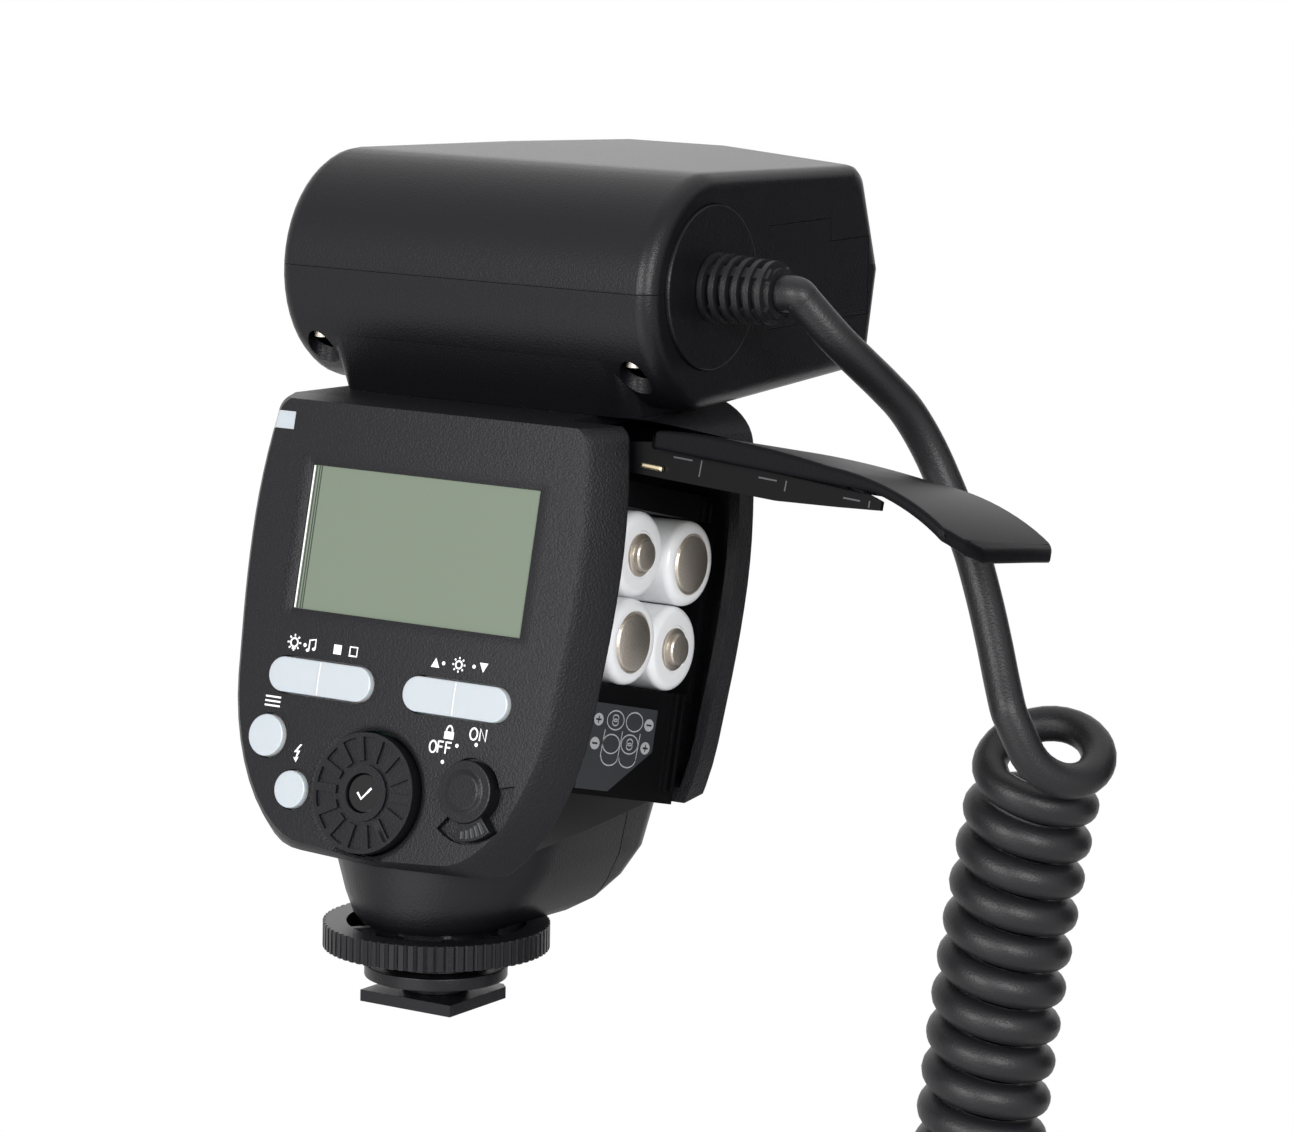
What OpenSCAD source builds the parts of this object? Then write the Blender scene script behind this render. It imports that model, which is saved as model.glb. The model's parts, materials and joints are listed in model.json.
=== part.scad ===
// Macro ring flash: a controller for a hot shoe, a curly cord and a ring head.
// Millimetres. The origin is the centre of the shoe foot's underside, +Y points to the lens side, +Z is up.

/* [Case] */
// Lean of the case towards the lens side, in degrees
lean = 13; // [11:0.5:15]
// Width of the panel face at its widest
panel_w = 68.4; // [67:0.2:72]
// Top edge of the panel face above the dial's axis
panel_top = 65; // [64.5:0.25:67]
// Bottom edge of the panel face below the dial's axis
panel_low = 11.5; // [11.25:0.25:12.5]
// Thickness of the panel face
panel_t = 2.2; // [2:0.1:3]
// Depth of the rear case half
rear_d = 7; // [6.5:0.25:8]
// Depth of the whole case
case_d = 50; // [49:0.5:53]
// How far the case swells past the panel face on each side
swell = 2.8; // [2.4:0.2:3.6]
// Wall of the mouldings
wall = 2; // [1.6:0.1:2.2]
// Height of the case's flat top above the shoe
case_top = 100.8; // [100:0.2:102]
// Height of the case's flat bottom above the shoe
case_bottom = 25.5; // [24.5:0.25:26]

/* [Panel] */
// Width of the display window
lcd_w = 46.4; // [40:0.2:50]
// Height of the display window
lcd_h = 24.4; // [20:0.2:27]
// Height of the display's centre above the dial's axis
lcd_v = 41.2; // [39.5:0.2:42]
// Thickness of the display module
lcd_t = 4; // [3:0.25:5]
// Length of a rocker button
rocker_l = 21.2; // [18:0.2:24]
// Width of a rocker button
rocker_w = 6; // [5:0.2:7]
// Radius of the mode button
mode_r = 3.6; // [3:0.1:4.2]
// Radius of the test button
test_r = 3.2; // [2.6:0.1:3.6]
// Radius of the selector dial
dial_r = 10.1; // [9:0.1:10.8]
// Radius of the set button
set_r = 3.3; // [2.5:0.1:4]
// Radius of the power switch's round body
switch_r = 5.2; // [4.4:0.1:5.8]
// Reach of the power switch's grip from its axis
grip_reach = 8.2; // [7.4:0.1:9]
// How far buttons stand proud of the panel
proud = 0.9; // [0.6:0.1:1.4]
// Travel of a pressed button
press = 0.5; // [0.3:0.1:0.6]

/* [Batteries and door] */
// Diameter of an AA cell
cell_d = 14.5; // [13.8:0.1:14.8]
// Length of an AA cell over its nub
cell_l = 50.5; // [49:0.1:51]
// Distance from the case's middle to the outer ends of the cells
cell_end = 32.9; // [32:0.1:33]
// Diameter of the door's hinge pin
pin_d = 1.5; // [1.2:0.1:1.6]
// Thickness of the door's sliding cover
cover_t = 1.8; // [1.5:0.1:1.8]
// Travel of the door's cover between latched and free
slide = 3; // [2:0.25:4]
// How far the door stands open in the rest pose, in degrees
door_open = 86; // [70:1:88]

/* [Head] */
// Width of the head
head_w = 76; // [74:0.5:80]
// Radius of the head's round rear
head_r = 20; // [19:0.25:21]
// Length of the head from its round axis to its front
head_front = 55; // [50:0.5:58]
// Height of the round rear's axis above the shoe
head_z = 121.5; // [121:0.1:123]
// Length of the ribbed cord boot
boot_l = 13; // [11:0.5:13]
// Radius of the cord boot's ribs
boot_r = 5.9; // [5:0.1:6.5]

/* [Shoe] */
// Width of the shoe foot, as the accessory shoe standard sets it
foot_w = 18.6; // [18.3:0.1:18.6]
// Length of the shoe foot
foot_l = 18; // [16:0.25:18.5]
// Thickness of the shoe foot
foot_t = 2; // [1.8:0.1:2.1]
// Radius of the stem above the foot
stem_r = 5.6; // [5:0.1:6]
// Radius of the lock wheel
wheel_r = 19.3; // [17:0.1:21]
// Radius of the clamp disc
clamp_r = 12.2; // [11:0.1:14]
// Height of the clamp disc's underside at rest
clamp_z = 4.2; // [4:0.1:4.4]
// Height of the lock wheel's underside
wheel_z = 9.4; // [9.2:0.1:9.8]
// Height of the lock wheel's rim
wheel_h = 4.3; // [3.6:0.1:4.3]

/* [Cord] */
// Diameter of the cord
cord_d = 6.1; // [5.4:0.1:6.1]
// Radius of the curls at the middle of the cord
curl_r = 8.4; // [8:0.1:8.8]
// Number of curls below the top loop
curls = 16; // [12:1:16]

/* [Ring head] */
// Outer diameter of the ring head
ring_d = 112; // [108:1:120]
// Diameter of the ring's lens bore
bore_d = 72; // [66:1:74]
// Thickness of the ring head
ring_t = 26; // [24:0.5:30]
// Angle that each flash window spans, in degrees
window_angle = 146; // [120:2:150]
// Height of the cord block over the ring's rim
block_h = 14; // [12:0.5:16]

/* [Hidden] */
$fn = 48;

// Clearances and small offsets
fit = 0.1;
run = 0.06;
loose = 0.25;
seat = 0.3;
over = 1;
sliver = 0.02;
slab_t = 0.4;
steps = 12;

// Colours
case_black = "#1f1f22";
shell_black = "#17171a";
gloss_black = "#0d0d0f";
cord_black = "#1a1a1b";
milky = "#ccd5df";
glass_green = "#80927c";
steel = "#b9b6ae";
brass = "#c8a24a";
board_green = "#1d5a35";
wrapper_white = "#f1f2f4";

// Place of the panel face: its origin is level with the dial's axis
panel_y = -17.6;
panel_z = 38.3;

// Outline of the panel face
corner_w = 17.8;
corner_v = 20;
edge_rise = 1;
widest_v = 42;
taper_span = 22;
low_taper = 1.2;
top_taper = 2.3;
top_r = 3.5;
face_break = 1.2;
front_break = 3;
front_pinch = 2.4;
shoulder_r = 8.5;
shoulder_wide = 1.45;
// 2 makes the lower corners elliptical, and less makes them flatter
corner_n = 1.85;

function side_half(v, w) = w - (v < widest_v ? low_taper : top_taper) * pow((v - widest_v) / taper_span, 2);

// Half outline of the case in (u, v), grown by grow, up to the height top
function half_outline(grow, top, r = top_r, wide = 1) = let (
        w = panel_w / 2 + grow,
        low = panel_low + grow / 2,
        shoulder = top - r,
        x_top = side_half(min(shoulder, panel_top), w)
    ) concat(
        [[0, -low]],
        [for (i = [0:steps]) let (t = 90 * i / steps)
            [w - low_taper - corner_w * (1 - pow(sin(t), 2 / corner_n)),
                corner_v - (corner_v + low - edge_rise) * pow(cos(t), 2 / corner_n)]],
        [for (i = [1:steps]) let (v = corner_v + (shoulder - corner_v) * i / steps)
            [side_half(min(v, panel_top), w), v]],
        [for (i = [1:steps]) let (t = 90 * i / steps)
            [x_top - wide * r * (1 - cos(t)), shoulder + r * sin(t)]]
    );

function mirrored(half) = concat(half, [for (i = [len(half) - 1:-1:1]) [-half[i].x, half[i].y]]);

// Heights in the leaning frame of the flat top and bottom, at a depth behind the panel
function level_v(z, depth) = (z - panel_z + depth * sin(lean)) / cos(lean);

module at_panel() {
    translate([0, panel_y, panel_z]) rotate([-lean, 0, 0]) children();
}

// Children stand on the panel face at (u, v), with +Z outwards
module on_panel(u, v) {
    at_panel() translate([u, 0, v]) rotate([90, 0, 0]) children();
}

// A sliver of the case's outline at a depth behind the panel face
module slab(depth, grow, top, r = top_r, wide = 1) {
    translate([0, depth, 0]) rotate([90, 0, 0]) linear_extrude(slab_t)
        polygon(mirrored(half_outline(grow, top, r, wide)));
}

// Block between two depths, from low to high v and across from u0 to u1
module panel_block(u0, u1, d0, d1, v0, v1) {
    translate([u0, d0, v0]) cube([u1 - u0, d1 - d0, v1 - v0]);
}

// A side view outline of (depth, v) points, carried across from u0 to u1
module across(u0, u1, points) {
    translate([u0, 0, 0]) rotate([90, 0, 90]) linear_extrude(u1 - u0) polygon(points);
}

front_high = 50;
front_slope = 5;
front_lean = 3;
chin_rise = 10;
half_span = panel_w / 2 + swell + over;

// Side view of the case, drawn in by inset; its bottom rises towards the front
function case_side(inset) = [
    [-over, level_v(case_bottom + inset, -over)],
    [-over, level_v(case_top - inset, -over)],
    [case_d - front_slope - inset, level_v(case_top - inset, case_d - front_slope - inset)],
    [case_d - front_lean - inset, panel_top - inset],
    [case_d - inset, front_high],
    [case_d - inset, corner_v],
    [case_d - edge_rise - inset, level_v(case_bottom + chin_rise + inset, case_d - edge_rise - inset)]
];

// Outer form of the closed case, in the leaning frame
module case_form() {
    intersection() {
        hull() {
            slab(slab_t, -face_break, panel_top - face_break / 2);
            slab(face_break + slab_t, 0, panel_top);
            slab(rear_d - seat, swell, level_v(case_top, rear_d) + seat);
            slab(case_d - front_break, swell, level_v(case_top, case_d) + seat, shoulder_r, shoulder_wide);
            slab(case_d + seat, swell - front_pinch, level_v(case_top, case_d) + seat, shoulder_r,
                shoulder_wide);
        }
        across(-half_span, half_span, case_side(0));
    }
}

// Inside of the front case half
module case_hollow() {
    tall = level_v(case_top, case_d);
    intersection() {
        through(rear_d - over, case_d - wall)
            polygon(mirrored(half_outline(swell - wall, tall, shoulder_r, shoulder_wide)));
        across(-half_span, half_span, case_side(wall));
    }
}

// Panel controls
left_rocker_at = [-14.5, 17.7];
right_rocker_at = [13.2, 17.6];
mode_at = [-23.9, 7.1];
test_at = [-17.4, -1.3];
dial_at = [-2, 0];
switch_at = [18.35, 2.85];
switch_rest = -72;
switch_sweep = 56;
lip = 1;
lcd_border = 2;
pocket = lcd_border + fit;
board_d = panel_t + lcd_t;
board_t = 1.6;
board_w = 56;
board_top = lcd_v + lcd_h / 2 + lcd_border;
board_low = 6.8;
tact_h = 1;
tact_r = 1.6;
flange = 0.9;
flange_t = 0.8;
rocker_room = 0.8;
rocker_switch = 7;
dial_gap = 0.4;
dial_proud = 1;
hub_r = set_r + 1.4;
rib_count = 14;
rib_w = 1.4;
rib_h = 0.5;
dial_rim = 0.7;
switch_proud = 1.9;
grip_proud = 1.2;
recess_t = 1.2;
recess_gap = 0.5;
grip_side = 26;
recess_side = 4;
recess_more = 32;
shaft_r = 2.4;
dome_r = 3.5;
dome_h = 0.5;

module capsule(length, width, height) {
    linear_extrude(height) {
        square([length - width, width], center = true);
        translate([(length - width) / 2, 0]) circle(d = width);
        translate([(width - length) / 2, 0]) circle(d = width);
    }
}

// Sector of a disc between two angles
module sector(radius, from, to) {
    polygon(concat([[0, 0]], [for (i = [0:steps]) let (a = from + (to - from) * i / steps)
        [radius * cos(a), radius * sin(a)]]));
}

// Shallow recess that the power switch's grip sweeps
module switch_recess() {
    circle(switch_r + recess_gap);
    sector(grip_reach + recess_gap, switch_rest - grip_side - recess_more,
        switch_rest + switch_sweep + grip_side + recess_side);
}

// Window that wraps round the panel's upper left edge
status_w = 7;
status_in = 27.8;
status_v = 60.4;
status_h = 3.1;

module status_block(gap) {
    at_panel() panel_block(-status_in - status_w - gap, -status_in + gap, -over, panel_t - lip / 2 + gap,
        status_v - status_h / 2 - gap, status_v + status_h / 2 + gap);
}

// Door and hinge; the hinge line rises towards the front by hinge_tilt
hinge_u = 30.2;
hinge_v = 61;
hinge_tilt = 2.2;
pin_r = pin_d / 2;
pin_hold = 2;
pin_front = 1;
barrel_r = pin_r + 1.1;
mouth_gap = 0.4;
mouth_u = 22.4;
door_d0 = rear_d + mouth_gap;
door_d1 = case_d - 8;
hinge_d = (door_d0 + door_d1) / 2;
hinge_rise = sin(hinge_tilt) * (door_d1 - door_d0) / 2;
cover_in = swell - cover_t;
plate_t = 1;
plate_out = cover_in - fit;
plate_low = 14;
plate_top = hinge_v - hinge_rise;
contact_gap = 0.2;
rail_w = 0.8;
rail_low = 10;
lip_v = -6.4;
wall_low = 7;
wall_u = 28.7;
wall_bend_high = 27;
wall_bend_low = 15.6;
arm_r = panel_w / 2 + plate_out - hinge_u;
open_top = hinge_v + arm_r + hinge_rise + 1.2;
cover_top = hinge_v - arm_r - hinge_rise - 1;

// Outline of the side between two heights, at a growth, as (u, v) points from low to high
function side_u(grow, v) = let (
        w = panel_w / 2 + grow,
        c = (corner_v - v) / (corner_v + panel_low + grow / 2 - edge_rise)
    ) v < corner_v ? w - low_taper - corner_w * (1 - pow(1 - pow(c, corner_n), 1 / corner_n)) : side_half(v, w);
function side_line(grow, v0, v1) = [for (i = [0:3 * steps]) let (v = v0 + (v1 - v0) * i / (3 * steps))
    [side_u(grow, v), v]];
// The same for the door's plate, which clears the cover over its whole slide
function plate_u(grow, v) = min(side_u(grow, v), side_u(grow, v + slide));
function plate_line(grow) = [for (i = [0:3 * steps])
    let (v = plate_low + (plate_top - plate_low) * i / (3 * steps)) [plate_u(grow, v), v]];
function reversed(list) = [for (i = [len(list) - 1:-1:0]) list[i]];

// Turns the closed door about its hinge; a positive angle opens it
module swung(angle) {
    at_panel() translate([hinge_u, hinge_d, hinge_v]) rotate([hinge_tilt, 0, 0]) rotate([0, -angle, 0])
        rotate([-hinge_tilt, 0, 0]) translate([-hinge_u, -hinge_d, -hinge_v]) children();
}

// A (u, v) outline carried between two depths
module through(d0, d1) {
    translate([0, d1, 0]) rotate([90, 0, 0]) linear_extrude(d1 - d0) children();
}

// Mouth of the battery bay, which takes in the case's lower right corner
module bay_mouth() {
    panel_block(mouth_u, half_span, rear_d - over, door_d1 + mouth_gap, -2 * panel_low, open_top);
}

// A round bar along the hinge line between two depths
module along_hinge(radius, d0, d1) {
    translate([hinge_u, hinge_d, hinge_v]) rotate([hinge_tilt, 0, 0]) translate([0, d0 - hinge_d, 0])
        rotate([-90, 0, 0]) cylinder(r = radius, h = d1 - d0);
}

module rear_panel() {
    color(case_black) difference() {
        intersection() {
            at_panel() case_form();
            at_panel() panel_block(-half_span, half_span, -over, rear_d, -2 * panel_low, case_top);
        }
        at_panel() difference() {
            through(panel_t, rear_d + over) polygon(mirrored(half_outline(-wall, panel_top - wall)));
            along_hinge(barrel_r, rear_d - pin_hold - over, rear_d);
        }
        // display window, and the pocket behind it for the glass
        on_panel(0, lcd_v) translate([-lcd_w / 2, -lcd_h / 2, -panel_t]) cube([lcd_w, lcd_h, panel_t + over]);
        on_panel(0, lcd_v)
            translate([-lcd_w / 2 - pocket, -lcd_h / 2 - pocket, -panel_t - over])
                cube([lcd_w + 2 * pocket, lcd_h + 2 * pocket, panel_t + over - lip]);
        for (at = [left_rocker_at, right_rocker_at])
            on_panel(at.x, at.y) translate([0, 0, -panel_t - over])
                capsule(rocker_l + 2 * loose, rocker_w + 2 * loose, panel_t + 2 * over);
        for (b = [[mode_at, mode_r + loose], [test_at, test_r + loose], [dial_at, dial_r + dial_gap]])
            on_panel(b[0].x, b[0].y) translate([0, 0, -panel_t - over])
                cylinder(r = b[1], h = panel_t + 2 * over);
        on_panel(switch_at.x, switch_at.y) translate([0, 0, -recess_t]) linear_extrude(recess_t + over)
            switch_recess();
        on_panel(switch_at.x, switch_at.y) translate([0, 0, -panel_t - over])
            cylinder(r = shaft_r + run, h = panel_t + over);
        status_block(0);
        at_panel() along_hinge(pin_r, rear_d - pin_hold, rear_d + over);
    }
}

module status_window() {
    color(milky) intersection() {
        at_panel() case_form();
        status_block(-fit / 2);
    }
}

module display_glass() {
    color(glass_green) on_panel(0, lcd_v)
        translate([-lcd_w / 2 - lcd_border, -lcd_h / 2 - lcd_border, -panel_t])
            cube([lcd_w + 2 * lcd_border, lcd_h + 2 * lcd_border, panel_t - lip]);
}

module display_module() {
    color(gloss_black) on_panel(0, lcd_v) translate([-lcd_w / 2, -lcd_h / 2, -board_d])
        cube([lcd_w, lcd_h, lcd_t]);
}

// Board behind the display, with a dome switch under each button and a seat under the dial and the switch
module main_board() {
    color(board_green) {
        at_panel() intersection() {
            panel_block(-board_w / 2, board_w / 2, board_d, board_d + board_t, -board_low, board_top);
            through(board_d - over, board_d + 2 * over)
                polygon(mirrored(half_outline(-wall - fit, panel_top)));
        }
        for (at = [left_rocker_at, right_rocker_at], side = [-1, 1])
            on_panel(at.x + side * rocker_switch, at.y) translate([0, 0, -board_d - board_t / 2])
                cylinder(r = tact_r, h = tact_h + board_t / 2);
        for (at = [mode_at, test_at, dial_at])
            on_panel(at.x, at.y) translate([0, 0, -board_d - board_t / 2])
                cylinder(r = tact_r, h = tact_h + board_t / 2);
    }
}

// A two-way rocker that tilts about an upright axis through its middle
module rocker(at) {
    color(milky) on_panel(at.x, at.y) {
        translate([0, 0, -panel_t - rocker_room]) capsule(rocker_l, rocker_w, panel_t + rocker_room + proud);
        translate([0, 0, -panel_t - rocker_room - flange_t])
            capsule(rocker_l + 2 * flange, rocker_w + 2 * flange, flange_t);
        for (side = [-1, 1]) translate([side * rocker_switch, 0, -board_d + tact_h + press])
            cylinder(r = tact_r, h = board_d - tact_h - press - panel_t - rocker_room - flange_t / 2);
    }
}

module left_rocker() {
    rocker(left_rocker_at);
}

module right_rocker() {
    rocker(right_rocker_at);
}

// A round push button with a retaining flange behind the panel
module push_button(at, radius) {
    color(milky) on_panel(at.x, at.y) {
        translate([0, 0, -panel_t - fit]) cylinder(r = radius, h = panel_t + fit + proud);
        translate([0, 0, -panel_t - fit - flange_t]) cylinder(r = radius + flange, h = flange_t);
        translate([0, 0, -board_d + tact_h + press + fit])
            cylinder(r = tact_r, h = board_d - tact_h - press - fit - panel_t - fit - flange_t / 2);
    }
}

module mode_button() {
    push_button(mode_at, mode_r);
}

module test_button() {
    push_button(test_at, test_r);
}

module selector_dial() {
    color(shell_black) on_panel(dial_at.x, dial_at.y) difference() {
        union() {
            translate([0, 0, -panel_t]) cylinder(r = dial_r, h = panel_t + dial_proud);
            translate([0, 0, -board_d + seat]) cylinder(r = hub_r, h = board_d - seat + dial_proud + rib_h);
            difference() {
                cylinder(r = dial_r, h = dial_proud + rib_h);
                cylinder(r = dial_r - dial_rim, h = dial_proud + rib_h + over);
            }
            for (i = [0:rib_count - 1]) rotate(360 * i / rib_count)
                translate([hub_r + dial_rim, -rib_w / 2, 0])
                    cube([dial_r - hub_r - 2 * dial_rim, rib_w, dial_proud + rib_h]);
        }
        translate([0, 0, -board_d]) cylinder(r = set_r + run, h = board_d + dial_proud + rib_h + over);
    }
}

module set_button() {
    color(gloss_black) on_panel(dial_at.x, dial_at.y) translate([0, 0, -board_d + tact_h + press + fit])
        cylinder(r = set_r, h = board_d - tact_h - press - fit + dial_proud);
}

module power_switch() {
    color(shell_black) on_panel(switch_at.x, switch_at.y) {
        translate([0, 0, -recess_t + fit]) cylinder(r = switch_r, h = recess_t - fit + switch_proud);
        translate([0, 0, switch_proud]) cylinder(r1 = dome_r, r2 = dome_r - dome_h, h = dome_h);
        translate([0, 0, -board_d + seat]) cylinder(r = shaft_r, h = board_d - seat);
        translate([0, 0, -recess_t + fit]) linear_extrude(recess_t - fit + grip_proud)
            sector(grip_reach, switch_rest - grip_side, switch_rest + grip_side);
    }
}

// Battery bay
pitch = cell_d + fit;
bay = pitch + cell_d + 3 * fit;
cage_t = 1.2;
// The bay shares out the depth left between the main board and the front wall
board_room = 4.3;
front_room = 4.1;
bay_spare = case_d - wall - board_d - board_t - 2 * cage_t - bay;
bay_d = board_d + board_t + bay_spare * board_room / (board_room + front_room) + cage_t + bay / 2;
bay_v = 38.4;
cell_in = cell_end - cell_l;
bay_face = cell_end - 1.9;
spring_t = 1;
apron_t = 1.5;
flange_d0 = rear_d + fit * 2;
flange_d1 = door_d1 + fit * 2;
flange_u = bay_face - apron_t;
flange_low = 5;
flange_high = plate_top - barrel_r - over;
apron_gap = 0.7;
wall_room = 3.4;
apron_grow = cover_in - apron_gap;
apron_top = flange_low + over;

rail_pitch = 2.2;
rail_d = flange_d1 - rail_pitch - 3 * rail_w;

module front_case() {
    color(case_black) difference() {
        intersection() {
            at_panel() case_form();
            at_panel() panel_block(-half_span, half_span, rear_d, case_d + over, -2 * panel_low, case_top);
        }
        at_panel() case_hollow();
        at_panel() bay_mouth();
        at_panel() along_hinge(pin_r, rear_d, door_d1 + mouth_gap + pin_front);
    }
}

// Bay for two rows of two cells, with the flange and apron that show when the door is open
module battery_cage() {
    color(gloss_black) at_panel() difference() {
        union() {
            panel_block(cell_in - spring_t - cage_t, bay_face,
                bay_d - bay / 2 - cage_t, bay_d + bay / 2 + cage_t,
                bay_v - bay / 2 - cage_t, bay_v + bay / 2 + cage_t);
            panel_block(flange_u, bay_face, flange_d0 + wall_room, flange_d1, flange_low, flange_high);
            for (d = [rail_d, rail_d + rail_pitch])
                panel_block(flange_u, bay_face + over, d, d + rail_w,
                    flange_low + rail_pitch, flange_high - over);
            intersection() {
                through(flange_d0, flange_d1) polygon(concat(
                    side_line(apron_grow, edge_rise - panel_low, apron_top),
                    reversed(side_line(apron_grow - apron_t, edge_rise - panel_low + apron_t / 2,
                        apron_top))));
                across(0, half_span, case_side(wall + fit));
            }
        }
        panel_block(cell_in - spring_t, cell_end + over, bay_d - bay / 2, bay_d + bay / 2,
            bay_v - bay / 2, bay_v + bay / 2);
    }
}

// Contact strips at the inner end of the bay, one under each pair of cells
module inner_contacts() {
    color(brass) at_panel() for (side = [-1, 1])
        panel_block(cell_in - spring_t, cell_in - fit, bay_d + side * pitch / 2 - cell_d / 4,
            bay_d + side * pitch / 2 + cell_d / 4, bay_v - bay / 2 + fit, bay_v + bay / 2 - fit);
}

nub_r = 2.75;
nub_l = 1.3;
end_r = 5.6;

// An AA cell; way is 1 with its nub outwards and -1 with it inwards
module aa_cell(row, column, way) {
    color(wrapper_white) at_panel()
        translate([(cell_end + cell_in) / 2, bay_d + column * pitch / 2, bay_v + row * pitch / 2])
            rotate([0, way * 90, 0]) {
                translate([0, 0, -cell_l / 2]) cylinder(r = end_r, h = nub_l / 4);
                translate([0, 0, -cell_l / 2 + nub_l / 4]) cylinder(d = cell_d, h = cell_l - nub_l * 5 / 4);
                translate([0, 0, cell_l / 2 - nub_l]) cylinder(r = nub_r, h = nub_l);
            }
}

module aa_cell_rear_top() {
    aa_cell(1, -1, 1);
}

module aa_cell_front_top() {
    aa_cell(1, 1, -1);
}

module aa_cell_rear_low() {
    aa_cell(-1, -1, -1);
}

module aa_cell_front_low() {
    aa_cell(-1, 1, 1);
}

label_t = 0.4;
label_d0 = flange_d0 + wall_room + 0.4;
label_w = 22.1;
label_cut_d = 9.9;
label_cut_h = 7.4;
label_low = flange_low + 1;
label_high = bay_v - bay / 2 - cage_t - 2;

module polarity_plate() {
    color("#3a3c40") at_panel() across(bay_face, bay_face + label_t, [
        [label_d0, label_low], [label_d0, label_high], [label_d0 + label_w, label_high],
        [label_d0 + label_w, label_low + label_cut_h], [label_d0 + label_cut_d, label_low]]);
}

module hinge_pin() {
    color(steel) at_panel()
        along_hinge(pin_r, rear_d - pin_hold + fit, door_d1 + mouth_gap + pin_front - fit);
}

// Inner plate of the door, which swings on the pin and carries the contacts and the sliding cover
module door_hinge_plate() {
    color(gloss_black) swung(door_open) difference() {
        union() {
            through(door_d0 + 2 * rail_w, door_d1 - 2 * rail_w)
                polygon(concat(plate_line(plate_out), reversed(plate_line(plate_out - plate_t))));
            panel_block(hinge_u, plate_u(plate_out, plate_top) - plate_t / 2, door_d0 + 3 * rail_w,
                door_d1 - 3 * rail_w, plate_top - barrel_r / 2, plate_top);
            along_hinge(barrel_r, door_d0 + 3 * rail_w, door_d1 - 3 * rail_w);
            through(door_d0 + 2 * rail_w, door_d0 + 3 * rail_w + sliver) polygon(concat(
                [for (i = [0:3 * steps]) let (v = wall_low + (plate_top - wall_low) * i / (3 * steps))
                    [plate_u(plate_out, v), v]],
                [[wall_u, plate_top], [wall_u, wall_bend_high], [wall_u + 0.9, wall_bend_low],
                    [wall_u + 1.7, wall_low]]));
        }
        along_hinge(pin_r + run, rear_d, case_d);
    }
}

module door_contacts() {
    inner = plate_out - plate_t;
    span = cell_d / 4;
    color(brass) swung(door_open) for (row = [-1, 1]) let (v = bay_v + row * pitch / 2)
        panel_block(cell_end + contact_gap, min(plate_u(inner, v - span), plate_u(inner, v + span)) - sliver,
            bay_d - pitch / 2 - span, bay_d + pitch / 2 + span, v - span, v + span);
}

// Side view of the cover, with its rounded lower end
cover_side = [[door_d0 - over, hinge_v], [door_d0 - over, lip_v + 4], [door_d0 + 1, lip_v + 2.9],
    [door_d0 + 4, lip_v + 1.2], [door_d0 + 8.5, lip_v], [door_d1 - 2.5, lip_v + 1.8],
    [door_d1 - 0.8, lip_v + 2.8], [door_d1 + over, lip_v + 4.4], [door_d1 + over, hinge_v]];

// Outer cover of the door, which follows the case's side and bottom; it slides on the plate and rests out
module door_cover() {
    color(case_black) swung(door_open) translate([0, 0, -slide]) {
        intersection() {
            through(door_d0, door_d1) polygon(concat(side_line(swell, edge_rise - panel_low, cover_top),
                reversed(side_line(cover_in, edge_rise - panel_low, cover_top))));
            across(mouth_u + mouth_gap, half_span, cover_side);
        }
        for (d = [door_d0, door_d1 - rail_w])
            through(d, d + rail_w) polygon(concat(side_line(cover_in + fit, rail_low, cover_top),
                [[cell_end + contact_gap, cover_top], [cell_end + contact_gap, rail_low]]));
    }
}

// Base and shoe
base_z = 14;
base_levels = [[base_z, -13, 24, 14], [15.5, -13.8, 29, 16], [19, -14.4, 33, 18.5], [24, -15, 35.5, 21],
    [36, -15.8, 37.5, 23.5]];
base_front_r = 6;
base_seam_y = 24.5;
base_floor = 2.5;
stem_top = base_z + base_floor;
foot_gap = 0.05;

// Smooth foot of the controller, hulled through its levels of (height, rear, front, half width)
module base_form() {
    hull() for (s = base_levels) translate([0, 0, s[0]]) {
        translate([0, s[1] + s[3] - 1]) cylinder(r = s[3] - 1, h = sliver, $fn = 32);
        for (side = [-1, 1]) translate([side * (s[3] - base_front_r), s[2] - base_front_r])
            cylinder(r = base_front_r, h = sliver, $fn = 32);
    }
}

hollow_half = 9;
hollow_y0 = -6;
hollow_top = case_bottom - wall;

module base_housing() {
    color(shell_black) {
        difference() {
            base_form();
            translate([0, 0, -foot_gap]) at_panel() case_form();
            translate([-half_span, base_seam_y, 0]) cube([2 * half_span, case_d, case_top]);
            translate([-hollow_half, hollow_y0, stem_top])
                cube([2 * hollow_half, base_seam_y - hollow_y0 - wall, hollow_top - stem_top]);
        }
        difference() {
            translate([0, 0, foot_t]) cylinder(r = stem_r, h = base_z + sliver - foot_t);
            shoe_screw_set(run);
        }
    }
}

window_half = 17;
window_low = 18.5;
window_high = 24.5;
window_y = 30;

module front_base_cover() {
    color(shell_black) difference() {
        base_form();
        translate([0, 0, -foot_gap]) at_panel() case_form();
        translate([-half_span, base_seam_y + fit - case_d, 0]) cube([2 * half_span, case_d, case_top]);
        translate([-window_half, window_y, window_low])
            cube([2 * window_half, case_d, window_high - window_low]);
        translate([-hollow_half, base_seam_y, window_low])
            cube([2 * hollow_half, window_y - base_seam_y + over, window_high - window_low]);
    }
}

module red_window() {
    color("#8e1016") intersection() {
        base_form();
        translate([-window_half + fit / 2, window_y, window_low + fit / 2])
            cube([2 * window_half - fit, case_d, window_high - window_low - fit]);
    }
}

screw_at = 2.9;
screw_r = 0.8;
screw_head_r = 1.5;
screw_head_h = 1;
screw_l = 7;
contact_r = 0.8;
lock_pin_r = 1;
lock_pin_y = 7.2;
contact_at = [[0, 0], [-4.6, 6], [4.6, 6], [-6.4, 1.5], [6.4, 1.5]];
foot_corner = 1.5;
contact_h = foot_t - 2 * loose;

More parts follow.
